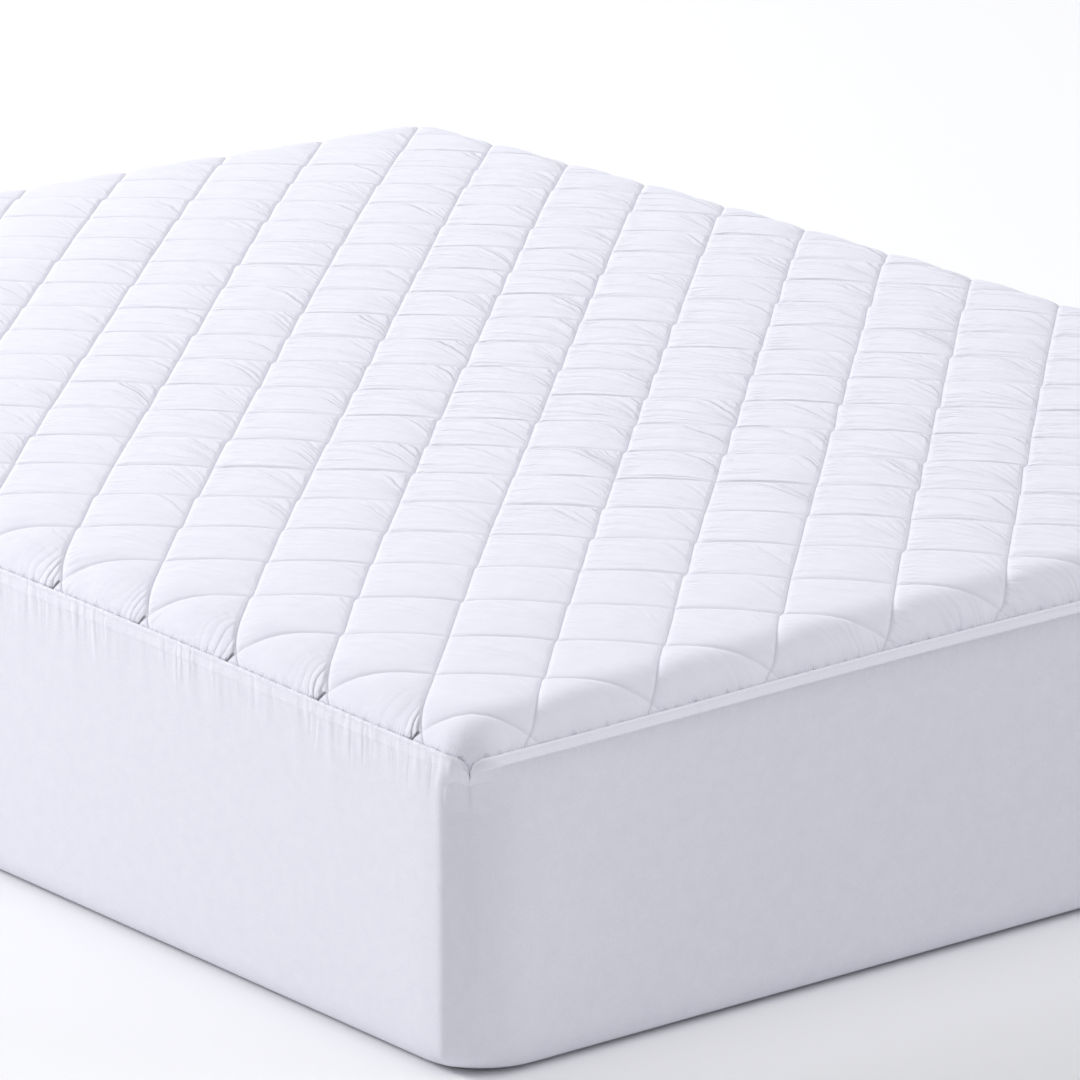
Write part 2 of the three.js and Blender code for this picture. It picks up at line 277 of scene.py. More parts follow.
def sidePoint(columns, walked, lift, push=0, ease=0):
    # walked, lift and push hold one row for each row of the side, or one value for each point
    out, drop, slope = edgePoint(walked, lift)
    below = walked - seamAt
    inset = -out - push
    radius = cornerRadiusAt(walked) + ease * np.clip(below / bed["shoulder"], 0, 1)
    inset, beside = roundCorner(inset, columns["along"] + 0 * out, columns["inset"] + 0 * out, radius)
    insetX = np.where(columns["onLongSide"], inset, beside)
    insetY = np.where(columns["onLongSide"], beside, inset)
    creasedX, creasedY = creasedCorner(columns, -out - push + ease * corner["easeShare"])
    softer = np.clip(below / corner["roundedBelow"], 0, 1)
    notch = columns["notch"] + (columns["softNotch"] - columns["notch"]) * softer
    level = below + notch * np.clip(below / corner["levelBelow"], 0, 1)
    starts, full = corner["startsBelowSeam"], corner["fullBelowSeam"]
    creased = np.clip((level - starts) / (full - starts), 0, 1)
    creased = creased * (1 - np.clip((walked - turnAt) / turnLength, 0, 1))
    creased = creased * creased * (3 - 2 * creased)
    insetX = insetX + (creasedX - insetX) * creased
    insetY = insetY + (creasedY - insetY) * creased
    x = columns["signX"] * (halfWidth - insetX)
    y = columns["signY"] * (halfLength - insetY)
    droop = np.clip(1 - below / bed["droop"], 0, 1)
    rise = np.cos(slope) * lift
    rise = np.where(rise > 0, rise * columns["levelShare"], rise)
    z = bed["height"] - drop + (topLevel(x, y) - notch) * droop + rise
    return np.stack([x, y, z], axis=-1)


# noise, the same each time
seeds = {
    "jogs": 11,
    "fullness": 3,
    "wrinkleCells": 5,
    "puckerCells": 7,
    "patches": 23,
    "skirtGathers": 17,
    "hemGathers": 41,
}
latticeSize = 256


def latticeValues(seed):
    return np.random.default_rng(seed).random((latticeSize, latticeSize))


def smoothNoise(x, y, seed):
    # value noise from -1 to 1, one lump for each unit of x and y
    values = latticeValues(seed)
    x0, y0 = np.floor(x).astype(int), np.floor(y).astype(int)
    fx, fy = x - x0, y - y0
    fx, fy = fx * fx * (3 - 2 * fx), fy * fy * (3 - 2 * fy)
    valueAt = lambda i, j: values[(x0 + i) % latticeSize, (y0 + j) % latticeSize]
    low = valueAt(0, 0) * (1 - fx) + valueAt(1, 0) * fx
    high = valueAt(0, 1) * (1 - fx) + valueAt(1, 1) * fx
    return 2 * (low * (1 - fy) + high * fy) - 1


def cellRandom(u, v, seed):
    values = latticeValues(seed)
    return values[np.floor(u).astype(int) % latticeSize, np.floor(v).astype(int) % latticeSize]


def addAttribute(mesh, name, values, domain="POINT"):
    attribute = mesh.attributes.new(name, "FLOAT_VECTOR", domain)
    attribute.data.foreach_set("vector", np.asarray(values, np.float32).ravel())


def newPiece(name, points, faces):
    # a smooth mesh at the origin
    mesh = bpy.data.meshes.new(name)
    mesh.from_pydata([tuple(p) for p in points], [], faces)
    mesh.polygons.foreach_set("use_smooth", [True] * len(mesh.polygons))
    mesh.update()
    piece = bpy.data.objects.new(name, mesh)
    bpy.context.scene.collection.objects.link(piece)
    return piece


def gridQuads(index):
    corners = [index[:-1, :-1], index[1:, :-1], index[1:, 1:], index[:-1, 1:]]
    return np.stack(corners, -1).reshape(-1, 4)


def bandQuads(here, below):
    # quads between two closed rings of points
    return np.stack([here, below, np.roll(below, -1), np.roll(here, -1)], -1).tolist()


# quilted panel
panel = {
    "clearance": 0.002,
    "thickness": 0.0025,  # along the sewn channels
    "diamondWidth": 0.1524,
    "diamondLength": 0.1506,
    "diamondsAcross": 10,
    "diamondsAlong": 13.5,
    "lineSpacing": 0.107,  # square to the lines
    "puffHeight": 0.0044,
    "puffPower": 0.62,
    "flatHold": 0.28,  # how firmly the flat lines hold the puffs down; they do so fully near the seam
    "flatHoldReach": 0.07,
    "puffSpread": 0.12,  # how much the cells differ
    "edgeFullness": 0.4,  # how much fuller they are on the rounded edge
    "edgeFullAt": 0.045,
    "edgeFullReach": 0.03,
    "seamPinch": 0.016,
    "groove": 0.0007,  # how far the thread pulls the channel in
    "grooveWidth": 0.0016,
    "tuck": (0.0007, 0.0018),  # the edge is drawn down under the skirt's lip, at the sides and the ends
    "tuckWidth": 0.0035,
    "sidesMeetOver": 0.12,  # where what is so at the sides goes over into what is so at the ends
    "jog": 0.03,  # sideways step of the steep lines at each crossing, in diamonds
    "jogLength": 0.1,
    "jogRange": (-0.25, 1.5),  # least share and how much it varies
    "wrinkleFade": 2.5,  # how soon they set in beside the sewn lines
    "puckerFade": 5,
    "pitDepth": 0.003,  # tucks where the flat lines meet the long seams
    "pitWidth": 0.0035,
    "pitLength": 0.007,
    "steepSteps": (0, 0.01, 0.026, 0.055, 0.11, 0.2, 0.32, 0.46, 0.6, 0.73, 0.84, 0.91, 0.95, 0.974, 0.99),
    "flatSteps": (0, 0.014, 0.035) + tuple(np.linspace(0.07, 0.93, 17)) + (0.965, 0.986),
    "flatLines": (-1, 24),  # the first, and one past the last
    "steepLines": (-14, 11),
    "cutWithin": 1e-6,
    "mergeWithin": 0.0002,
    # waves of the slack cloth in each diamond
    "slack": {
        "height": 0.0005,
        "bend": 0.8,
        "bendDiffers": (0.7, 0.6),  # least and how much it varies
        "bendPower": 2.2,
        # how many lie across and along a diamond, and shifts so that no two diamonds are alike
        "waves": (
            {"across": 12.8, "along": 2.1, "strength": 0.65, "shift": (31, 9, 20), "seed": 21},
            {"across": 6.4, "along": 1.4, "strength": 0.7, "shift": (17, 5, 60), "seed": 22},
        ),
        "patch": (0.31, 0.37),  # size of the patches that hold more or less of it
        "patchShift": 40,
        "patchShare": (0.55, 0.6),
        "towardsHead": 0.22,  # how much more there is towards the head
        "headFrom": 0.5,
        "headOver": 0.8,
        "limits": (0.1, 1.2),
        "leftShare": 0.45,
        "rightShare": 0.75,
        "rightPower": 1.5,
    },
    # small lumps beside each crossing
    "puckers": {
        "height": 0.0012,
        # place along and across the diamond, size both ways, lean
        "fold": (0.88, 0.075, 0.06, 0.022, 0.5),
        "hollow": (0.9, 0.125, 0.06, 0.02, 0.5),
        "spot": (0.06, 0.06, 0.035, 0.03, 0),
        "hollowShare": 0.8,
        "spotShare": (0.3, 0.5),
    },
    # the plain underside
    "backing": {
        "rise": -0.0004,  # against the clearance
        "onRim": 1e-5,
        "joinWithin": 1e-7,
        "margin": 0.012,
        "columns": 34,
        "rows": 44,
        "rings": (0.028, 0.05),  # more points where it bends, this far from the seam
        "ringRun": ((0.7, 44), (0.95, 60)),  # half the run and the number of points, across and along
    },
}
slack, puckers, backing = panel["slack"], panel["puckers"], panel["backing"]


def clothToLines(across, along):
    # u counts the flat lines away from the foot, v the steep lines away from the near long side
    a = across / panel["diamondWidth"] + panel["diamondsAcross"] / 2
    b = along / panel["diamondLength"] + panel["diamondsAlong"] / 2
    return a + b - 0.5, a - b + 0.5


def linesToCloth(u, v):
    a, b = (u + v) / 2, (u - v) / 2 + 0.5
    across = (a - panel["diamondsAcross"] / 2) * panel["diamondWidth"]
    along = (b - panel["diamondsAlong"] / 2) * panel["diamondLength"]
    return across, along


def lineGrid():
    flat = [k + np.array(panel["flatSteps"]) for k in range(*panel["flatLines"])]
    steep = [k + np.array(panel["steepSteps"]) for k in range(*panel["steepLines"])]
    return np.concatenate(flat), np.concatenate(steep)


def jogAt(u, v):
    # the steep lines lean a little between crossings and step back, each crossing by another amount
    f = u - np.floor(u)
    half = panel["jogLength"] / 2
    lean = np.clip((f - half) / (1 - 2 * half), 0, 1)
    step = np.where(f < half, f / half, np.where(f > 1 - half, (1 - f) / half, 1))
    least, varies = panel["jogRange"]
    sizes = varies * latticeValues(seeds["jogs"]) + least
    cellU, cellV = np.floor(u).astype(int), np.floor(v).astype(int)

    def lineOffset(line):
        here = sizes[cellU % latticeSize, line % latticeSize]
        ahead = sizes[(cellU + 1) % latticeSize, line % latticeSize]
        return 0.5 * here * (1 - lean) - 0.5 * ahead * lean

    share = v - cellV
    between = lineOffset(cellV) * (1 - share) + lineOffset(cellV + 1) * share
    return panel["jog"] * np.clip(step, 0, 1) * between


def swell(share):
    return (1 - (1 - 2 * share) ** 2) ** panel["puffPower"]


def fromSeam(across, along):
    return np.minimum(panelHalfWidth - abs(across), panelHalfLength - abs(along))


def longSeamShare(across, along):
    # 1 at the long seams, 0 at the ends
    toLong, toEnd = panelHalfWidth - abs(across), panelHalfLength - abs(along)
    return np.clip((toEnd - toLong) / panel["sidesMeetOver"] + 0.5, 0, 1)


def crossWrinkles(u, v, across, along):
    f = v - np.floor(v)
    cell = cellRandom(u, v, seeds["wrinkleCells"])
    least, varies = slack["bendDiffers"]
    line = u + slack["bend"] * (least + varies * cell) * f ** slack["bendPower"]
    waves = 0
    for wave in slack["waves"]:
        lineShift, runShift, start = wave["shift"]
        x = line * wave["across"] + lineShift * cell
        y = f * wave["along"] + runShift * cell + start
        waves = waves + wave["strength"] * smoothNoise(x, y, wave["seed"])
    (wide, long), shift, (level, differ) = slack["patch"], slack["patchShift"], slack["patchShare"]
    region = level + differ * smoothNoise(across / wide + shift, along / long + shift, seeds["patches"])
    region += slack["towardsHead"] * np.clip((along + slack["headFrom"]) / slack["headOver"], -1, 1)
    share = slack["leftShare"] + slack["rightShare"] * f ** slack["rightPower"]
    return slack["height"] * np.clip(region, *slack["limits"]) * share * waves


def crossingPuckers(u, v):
    # a small fold left of each crossing and a small full spot right of it
    f, g = v - np.floor(v), u - np.floor(u)
    cell = cellRandom(u, v, seeds["puckerCells"])

    def lump(key):
        x, y, wide, high, lean = puckers[key]
        return np.exp(-(((f - x) / wide) ** 2) - (((g - y - lean * (f - x)) / high) ** 2))

    fold = lump("fold") - puckers["hollowShare"] * lump("hollow")
    least, varies = puckers["spotShare"]
    return puckers["height"] * (cell * fold + (least + varies * cell) * lump("spot"))


lastCrossing = panelHalfWidth - panel["diamondWidth"] * panel["diamondsAcross"] / 2  # from the long seam


def seamPits(across, along):
    # a deep tuck at the long seams, above the end of each flat line
    side = np.sign(across)
    endsAt = clothToLines(side * panelHalfWidth, along)[1]
    beside = np.where(side < 0, -endsAt, endsAt)
    beside = (beside - np.floor(beside)) * panel["diamondLength"]
    edge = panelHalfWidth - abs(across)
    above = beside + edge - 2 * lastCrossing
    span = (above - panel["pitWidth"]) / panel["pitWidth"]
    fromMiddle = (edge - panel["pitLength"]) / panel["pitLength"]
    return panel["pitDepth"] * np.exp(-(span**2) - fromMiddle**2) * (above > 0)


def faceLift(across, along, u, v):
    awayU, awayV = abs(u - np.round(u)), abs(v - np.round(v))
    edge = fromSeam(across, along)
    hold = panel["flatHold"]
    hold += (1 - hold) * np.exp(-((edge / panel["flatHoldReach"]) ** 2))
    full = (1 - hold + hold * swell(awayU)) * swell(awayV)
    pinch = 1 - np.exp(-np.maximum(edge, 0) / panel["seamPinch"])
    differ = 1 + panel["puffSpread"] * (2 * cellRandom(u, v, seeds["fullness"]) - 1)
    atRoll = (edge - panel["edgeFullAt"]) / panel["edgeFullReach"]
    differ += panel["edgeFullness"] * np.exp(-(atRoll**2))
    puff = panel["puffHeight"] * differ * full * pinch
    span = panel["lineSpacing"] * np.minimum(awayU, awayV)
    groove = panel["groove"] * np.exp(-((span / panel["grooveWidth"]) ** 2)) * pinch
    folds = crossWrinkles(u, v, across, along) * pinch * np.clip(full * panel["wrinkleFade"], 0, 1)
    folds += crossingPuckers(u, v) * pinch * np.clip(full * panel["puckerFade"], 0, 1)
    folds -= seamPits(across, along)
    atSides, atEnds = panel["tuck"]
    tuck = atEnds + (atSides - atEnds) * longSeamShare(across, along)
    tuck = tuck * np.exp(-((edge / panel["tuckWidth"]) ** 2))
    return panel["clearance"] + panel["thickness"] - tuck + puff - groove + folds


def flatPanelMesh():
    # the panel laid flat: a grid along the two directions of sewn lines, cut at the seam
    gridU, gridV = np.meshgrid(*lineGrid(), indexing="ij")
    across, along = linesToCloth(gridU, gridV + jogAt(gridU, gridV))
    quads = gridQuads(np.arange(gridU.size).reshape(gridU.shape))
    inside = (abs(across) < panelHalfWidth) & (abs(along) < panelHalfLength)
    quads = quads[inside.ravel()[quads].any(axis=1)]
    used, quads = np.unique(quads, return_inverse=True)
    points = np.stack([across.ravel()[used], along.ravel()[used], 0 * used], -1)
    mesh = bpy.data.meshes.new("flat")
    mesh.from_pydata([tuple(p) for p in points], [], quads.reshape(-1, 4).tolist())
    addAttribute(mesh, "lines", np.stack([gridU.ravel()[used], gridV.ravel()[used], 0 * used], -1))
    work = bmesh.new()
    work.from_mesh(mesh)
    w, l = panelHalfWidth, panelHalfLength
    cut = partial(bmesh.ops.bisect_plane, work, clear_outer=True, dist=panel["cutWithin"])
    for x, y in ((1, 0), (-1, 0), (0, 1), (0, -1)):
        whole = work.verts[:] + work.edges[:] + work.faces[:]
        cut(geom=whole, plane_co=(x * w, y * l, 0), plane_no=(x, y, 0))
    bmesh.ops.remove_doubles(work, verts=work.verts[:], dist=panel["mergeWithin"])
    for vert in {vert for edge in work.edges if edge.is_boundary for vert in edge.verts}:
        # a merged point on the rim goes back onto the seam
        if w - abs(vert.co.x) < l - abs(vert.co.y):
            vert.co.x = math.copysign(w, vert.co.x)
        else:
            vert.co.y = math.copysign(l, vert.co.y)
    work.faces.ensure_lookup_table()
    if work.faces[0].normal.z < 0:
        bmesh.ops.reverse_faces(work, faces=work.faces[:])
    work.to_mesh(mesh)
    work.free()
    return mesh


def perimeterPlace(across, along):
    # distance round the seam, anticlockwise from the near left corner
    w, l = panelHalfWidth, panelHalfLength
    side = np.argmin(abs(np.stack([along + l, w - across, l - along, across + w])), axis=0)
    places = [across + w, 2 * w + along + l, 2 * w + 2 * l + w - across, 4 * w + 2 * l + l - along]
    return np.choose(side, places)


def backingPlaces():
    w, l, margin = panelHalfWidth, panelHalfLength, backing["margin"]
    xs = np.linspace(-w + margin, w - margin, backing["columns"])
    ys = np.linspace(-l + margin, l - margin, backing["rows"])
    inner = [(x, y) for x in xs for y in ys]
    (runX, countX), (runY, countY) = backing["ringRun"]
    for shift in backing["rings"]:
        inner += [(s * (w - shift), y) for s in (-1, 1) for y in np.linspace(-runY, runY, countY)]
        inner += [(x, s * (l - shift)) for s in (-1, 1) for x in np.linspace(-runX, runX, countX)]
    return inner


def makeQuiltedTop():
    flat = flatPanelMesh()
    count = len(flat.vertices)
    co, lines = np.zeros(count * 3), np.zeros(count * 3, np.float32)
    flat.vertices.foreach_get("co", co)
    flat.attributes["lines"].data.foreach_get("vector", lines)
    co, lines = co.reshape(-1, 3), lines.reshape(-1, 3).astype(float)
    across, along = co[:, 0], co[:, 1]
    points = topPoint(across, along, faceLift(across, along, lines[:, 0], lines[:, 1]))
    faces = [tuple(p.vertices) for p in flat.polygons]
    bpy.data.meshes.remove(flat)
    rim = np.where(fromSeam(across, along) < backing["onRim"])[0]
    rim = rim[np.argsort(perimeterPlace(across[rim], along[rim]))]
    outline = [Vector((across[i], along[i])) for i in rim]
    edges = [(i, (i + 1) % len(rim)) for i in range(len(rim))]
    inner = [Vector(p) for p in backingPlaces()]
    cut = geometry.delaunay_2d_cdt(outline + inner, edges, [], 1, backing["joinWithin"])
    back = np.array([tuple(v) for v in cut[0]])
    backPoints = topPoint(back[:, 0], back[:, 1], np.full(len(back), panel["clearance"] + backing["rise"]))
    ringInBack = {old: count + new for new, olds in enumerate(cut[3]) for old in olds if old < len(rim)}
    faces += [tuple(count + i for i in reversed(tri)) for tri in cut[2]]
    for k, n in edges:
        faces.append((rim[k], ringInBack[k], ringInBack[n], rim[n]))
    piece = newPiece("quilted_panel", np.concatenate([points, backPoints]), faces)
    cloth = np.column_stack([np.concatenate([co[:, :2], back]), np.zeros(count + len(back))])
    addAttribute(piece.data, "cloth", cloth)
    backU, backV = clothToLines(back[:, 0], back[:, 1])
    addAttribute(piece.data, "cell", np.concatenate([lines, np.stack([backU, backV, 0 * backU], -1)]))
    return piece


quiltedTop = makeQuiltedTop()
print("quilted panel made:", len(quiltedTop.data.polygons), "faces")

# skirt
skirt = {
    "thickness": 0.0015,
    # the rolled upper edge: distance below the seam in m, height above the clearance in mm
    "lip": (
        (0.0006, 1.1),
        (-0.0018, 1.1),
        (-0.0029, 1.5),
        (-0.0033, 2.1),
        (-0.0029, 2.7),
        (-0.0018, 3.0),
        (-0.0002, 3.0),
    ),
    "lipRise": 0.0008,  # how much higher it stands along the sides
    # the strip over the seam allowance, and its fall to the wall: distance and share of the rise
    "stripWidth": 0.011,
    "strip": (0.12, 0.3, 0.5, 0.7, 0.88, 0.96),
    "stripTop": 0.0026,
    "stripLean": 0.001,
    "stripFall": ((0.0113, 0.9), (0.0121, 0.65), (0.013, 0.35), (0.0142, 0.12), (0.016, 0.03)),
    "stripEnds": 0.017,
    "stripRise": (0.0011, 0.0045),  # along the sides and the ends
    "stripShare": 0.62,  # its width at the ends against that at the sides
    "stripFade": (0.045, 0.016),  # how far from a corner it is lost, along the sides and the ends
    # rows below the seam, then round the turn, under the mattress and back inside
    "wallRows": (0.018, 0.023, 0.029, 0.036, 0.044, 0.053, 0.063, 0.075, 0.09, 0.108, 0.13)
    + (0.155, 0.185, 0.22, 0.26),
    "turnRows": (0.02, 9),  # how far above the turn they begin, and how many
    "underRows": 8,
    "insideTurnRows": 6,
    "insideRows": ((0.16, 0.07), (0.008, 0.001)),  # above and below the end of the shoulder
    "columnStep": 0.0047,
    "foldWidth": 0.022,
    "foldRise": 0.0012,
    "foldEdge": 0.008,
    "foldStep": 0.002,
    "hemGather": 0.004,
    "hemWave": 0.0042,
    "hemUneven": (2, 0.03),  # how much, and over what length
    # ranges of the short folds under the seam
    "gatherings": {
        "step": (0.010, 0.024),
        "depth": (0.0004, 0.0015),
        "width": (0.0035, 0.006),
        "length": (0.02, 0.075),
        "shorter": (0.5, 1),
        "lean": (-0.12, 0.12),
        "start": (0.004, 0.012),
        "reach": 0.06,
        "widens": 0.09,
        "atEnds": 0.16,  # how strong they are at the ends
    },
}
gatherings = skirt["gatherings"]

seamLength = 4 * (panelHalfWidth + panelHalfLength)


def seamPlaces():
    # the seam as columns: cloth place, side and the distance round
    w, l = panelHalfWidth, panelHalfLength
    countX = int(round(2 * w / skirt["columnStep"]))
    countY = int(round(2 * l / skirt["columnStep"]))
    spreadX = np.linspace(-w, w, countX + 1)[:-1]
    spreadY = np.linspace(-l, l, countY + 1)[:-1]
    across = np.concatenate([spreadX, np.full(countY, w), -spreadX, np.full(countY, -w)])
    along = np.concatenate([np.full(countX, -l), spreadY, np.full(countX, l), -spreadY])
    longSide = np.tile(np.repeat([False, True], [countX, countY]), 2)
    step = np.tile(np.repeat([2 * w / countX, 2 * l / countY], [countX, countY]), 2)
    places = np.concatenate([[0], np.cumsum(step)[:-1]])
    return across, along, longSide, (places + 2 * w + 2 * l) % (4 * w + 4 * l)


def gatherField(places, walked, longSide):
    # irregular short folds under the seam, full along the long sides and faint at the ends
    rng = np.random.default_rng(seeds["skirtGathers"])
    field = np.zeros((len(walked), len(places)))
    down = (walked - seamAt)[:, None]
    draw = lambda key: rng.uniform(*gatherings[key])
    at = 0.0
    while at < seamLength:
        at += draw("step")
        depth, width = draw("depth"), draw("width")
        length = draw("length") * draw("shorter")
        lean, start = draw("lean"), draw("start")
        apart = (places - at + seamLength / 2) % seamLength - seamLength / 2
        near = abs(apart) < gatherings["reach"]
        side = 1.0 if longSide[np.argmin(abs(apart))] else gatherings["atEnds"]
        offset = apart[near][None, :] - lean * down
        profile = np.clip(down / start, 0, 1) * np.exp(-((down / length) ** 2))
        spread = width * (1 + down / gatherings["widens"])
        field[:, near] += depth * side * np.exp(-((offset / spread) ** 2)) * profile
    return field


def skirtRows():
    # every row once round the section: distance walked, lift, and share of the strip's rise
    c, outer = panel["clearance"], panel["clearance"] + skirt["thickness"]
    rows = [(seamAt + w, c + 0.001 * h, 0) for w, h in skirt["lip"]]
    lipCount = len(rows)
    top, lean = c + skirt["stripTop"], skirt["stripLean"]
    rows += [(seamAt + skirt["stripWidth"] * k, top - lean * k, k) for k in skirt["strip"]]
    rows += [(seamAt + w, outer, k) for w, k in skirt["stripFall"]]
    above, turnRows = skirt["turnRows"]
    below = [seamAt + w for w in skirt["wallRows"]]
    below += list(np.linspace(turnAt - above, underAt, turnRows))
    below += list(np.linspace(underAt, hemAt, skirt["underRows"])[1:])
    rows += [(w, outer, 0) for w in below]
    outCount = len(rows)
    folded, fold = c - skirt["foldRise"], hemAt - skirt["foldWidth"]
    rows += [(w, folded, 0) for w in (hemAt, hemAt - skirt["foldEdge"], fold)]
    lower, upper = skirt["insideRows"]
    inside = [fold - skirt["foldStep"], *np.linspace(underAt, turnAt, skirt["insideTurnRows"])]
    inside += [*(seamAt + w for w in lower), plumbAt, *(seamAt + w for w in upper)]
    rows += [(w, c, 0) for w in inside]
    return np.array(rows, float), lipCount, outCount


def makeSkirt():
    across, along, longSide, places = seamPlaces()
    rows, lipCount, outCount = skirtRows()
    walked, lift, risen = rows.T
    field = gatherField(places, walked, longSide)
    field[outCount:] = 0
    ripple = np.clip((walked - underAt) / (hemAt - underAt), 0, 1)[:, None]
    uneven, lump = skirt["hemUneven"]
    phase = places / skirt["hemWave"] + uneven * smoothNoise(places / lump, 0 * places, seeds["hemGathers"])
    push = field - skirt["hemGather"] * (0.5 + 0.5 * np.sin(phase))[None, :] * ripple**3
    sides = longSeamShare(across, along)[None, :]
    down = (walked - seamAt)[:, None] + 0 * field
    onStrip = (down > 0) & (down < skirt["stripEnds"])
    width = skirt["stripShare"] + (1 - skirt["stripShare"]) * sides
    walkedGrid = seamAt + np.where(onStrip, down * width, down)
    columns = sideColumns(across, along, longSide, panel["clearance"])
    columns = {key: value[None, :] for key, value in columns.items()}
    atSides, atEnds = skirt["stripFade"]
    stripThere = 1 - np.exp(-((columns["along"] / (atEnds + (atSides - atEnds) * sides)) ** 2))
    atSides, atEnds = skirt["stripRise"]
    stripRise = (atEnds + (atSides - atEnds) * sides) * stripThere
    onLip = (np.arange(len(rows)) < lipCount)[:, None]
    lifts = lift[:, None] + risen[:, None] * stripRise + skirt["lipRise"] * sides * onLip
    points = sidePoint(columns, walkedGrid, lifts, push)
    index = np.arange(field.size).reshape(field.shape)
    faces = []
    for here, below in zip(index, np.roll(index, -1, axis=0)):
        faces += bandQuads(here, below)
    piece = newPiece("stretch_skirt", points.reshape(-1, 3), faces)
    flatten = lambda *values: np.stack([value + 0 * field for value in values], -1).reshape(-1, 3)
    addAttribute(piece.data, "edge", flatten(stripThere, 0, 0))
    # the band's own two ends meet at the corner farthest from the camera
    gathered = gatherings["atEnds"] + (1 - gatherings["atEnds"]) * longSide[None, :]
    cloth = flatten(places[None, :], down, gathered)
    loops = np.zeros(len(piece.data.loops), int)
    piece.data.loops.foreach_get("vertex_index", loops)
    onLoops = cloth[loops].reshape(-1, 4, 3)
    crossed = onLoops[:, 2:, 0] < onLoops[:, :1, 0] - seamLength / 2
    onLoops[:, 2:, 0] += np.where(crossed, seamLength, 0)
    addAttribute(piece.data, "cloth", onLoops.reshape(-1, 3), "CORNER")
    return piece


stretchSkirt = makeSkirt()
print("skirt made:", len(stretchSkirt.data.polygons), "faces")

# mattress under the cloth
mattress = {
    "columns": 60,
    "rows": 80,
    "edgeStep": 0.01,
    "sideRows": (0.06, 0.11),  # below the seam and the shoulder
    "shoulderRow": 0.01,
    "turnRows": 6,
    "insideHem": 0.006,
}


def makeMattress():
    nx, ny, step = mattress["columns"], mattress["rows"], mattress["edgeStep"]
    spread = lambda half, n: np.concatenate([[-half], np.linspace(step - half, half - step, n - 2), [half]])
    linesX, linesY = spread(panelHalfWidth, nx), spread(panelHalfLength, ny)
    gridX, gridY = np.meshgrid(linesX, linesY, indexing="ij")
    points = [topPoint(gridX, gridY, 0 * gridX).reshape(-1, 3)]
    index = np.arange(nx * ny).reshape(nx, ny)
    faces = gridQuads(index).tolist()
    ring = np.concatenate([index[:-1, 0], index[-1, :-1], index[:0:-1, -1], index[0, :0:-1]])
    longSide = np.tile(np.repeat([False, True], [nx - 1, ny - 1]), 2)
    columns = sideColumns(gridX.ravel()[ring], gridY.ravel()[ring], longSide, 0.0)
    last = hemAt + mattress["insideHem"]
    walks = [seamAt + mattress["shoulderRow"], plumbAt, *(seamAt + w for w in mattress["sideRows"]), turnAt]
    walks += list(np.linspace(turnAt, underAt, mattress["turnRows"])[1:]) + [last, last + bed["hemHollow"]]
    start = nx * ny
    for w in walks:
        made = sidePoint(columns, np.full(len(ring), w), 0.0, 0, bed["cornerEase"])
        if w == walks[-1]:
            made[:, 2] = 0
        points.append(made)
        below = start + np.arange(len(ring))
        faces += bandQuads(ring, below)
        ring, start = below, start + len(ring)
    faces.append(tuple(ring[::-1]))
    return newPiece("mattress_block", np.concatenate(points), faces)


mattressBlock = makeMattress()
print("mattress made")


# materials
def addNode(tree, kind, **settings):
    node = tree.nodes.new(kind)
    for key, value in settings.items():
        if key in node.inputs and not hasattr(node, key):
            node.inputs[key].default_value = value
        else:
            setattr(node, key, value)
    return node


def feed(tree, socket, value):
    if isinstance(value, (int, float)):
        socket.default_value = value
    else:
        tree.links.new(value, socket)


def maths(tree, operation, *values):
    # more than two values are taken one after the other
    node = addNode(tree, "ShaderNodeMath", operation=operation)
    for socket, value in zip(node.inputs, values[:2]):
        feed(tree, socket, value)
    if len(values) > 2:
        return maths(tree, operation, node.outputs[0], *values[2:])
    return node.outputs[0]


def bell(tree, value):
    return maths(tree, "EXPONENT", maths(tree, "MULTIPLY", value, value, -1.0))


def ramped(tree, value, low, high):
    node = addNode(tree, "ShaderNodeMapRange", interpolation_type="SMOOTHSTEP")
    for name, given in (("From Min", low), ("From Max", high), ("Value", value)):
        feed(tree, node.inputs[name], given)
    return node.outputs["Result"]


def combine(tree, *values):
    node = addNode(tree, "ShaderNodeCombineXYZ")
    for socket, value in zip(node.inputs, values):
        feed(tree, socket, value)
    return node.outputs[0]


def partsOf(tree, vector):
    node = addNode(tree, "ShaderNodeSeparateXYZ")
    feed(tree, node.inputs[0], vector)
    return node.outputs[:]


def attributeOf(tree, name):
    return addNode(tree, "ShaderNodeAttribute", attribute_name=name).outputs["Vector"]


def clothVector(tree, scale=1):
    mapping = addNode(tree, "ShaderNodeMapping", Scale=(scale, scale, scale))
    feed(tree, mapping.inputs["Vector"], attributeOf(tree, "cloth"))
    return mapping.outputs["Vector"]


def noiseOf(tree, vector, detail, roughness=0.5, scale=1.0):
    node = addNode(tree, "ShaderNodeTexNoise", Scale=scale, Detail=detail, Roughness=roughness)
    feed(tree, node.inputs["Vector"], vector)
    return node.outputs["Fac"]


def bandsOf(tree, vector, direction, scale, distortion):
    node = addNode(tree, "ShaderNodeTexWave", wave_type="BANDS", bands_direction=direction)
    node.inputs["Scale"].default_value = scale
    node.inputs["Distortion"].default_value = distortion
    feed(tree, node.inputs["Vector"], vector)
    return node.outputs["Fac"]


def mottled(tree, vector, look):
    ramp = addNode(tree, "ShaderNodeValToRGB")
    for element, stop, colour in zip(ramp.color_ramp.elements, look["stops"], (look["shade"], look["colour"])):
        element.position, element.color = stop, (*colour, 1)
    feed(tree, ramp.inputs["Fac"], noiseOf(tree, vector, *look["mottle"]))
    return ramp.outputs["Color"]


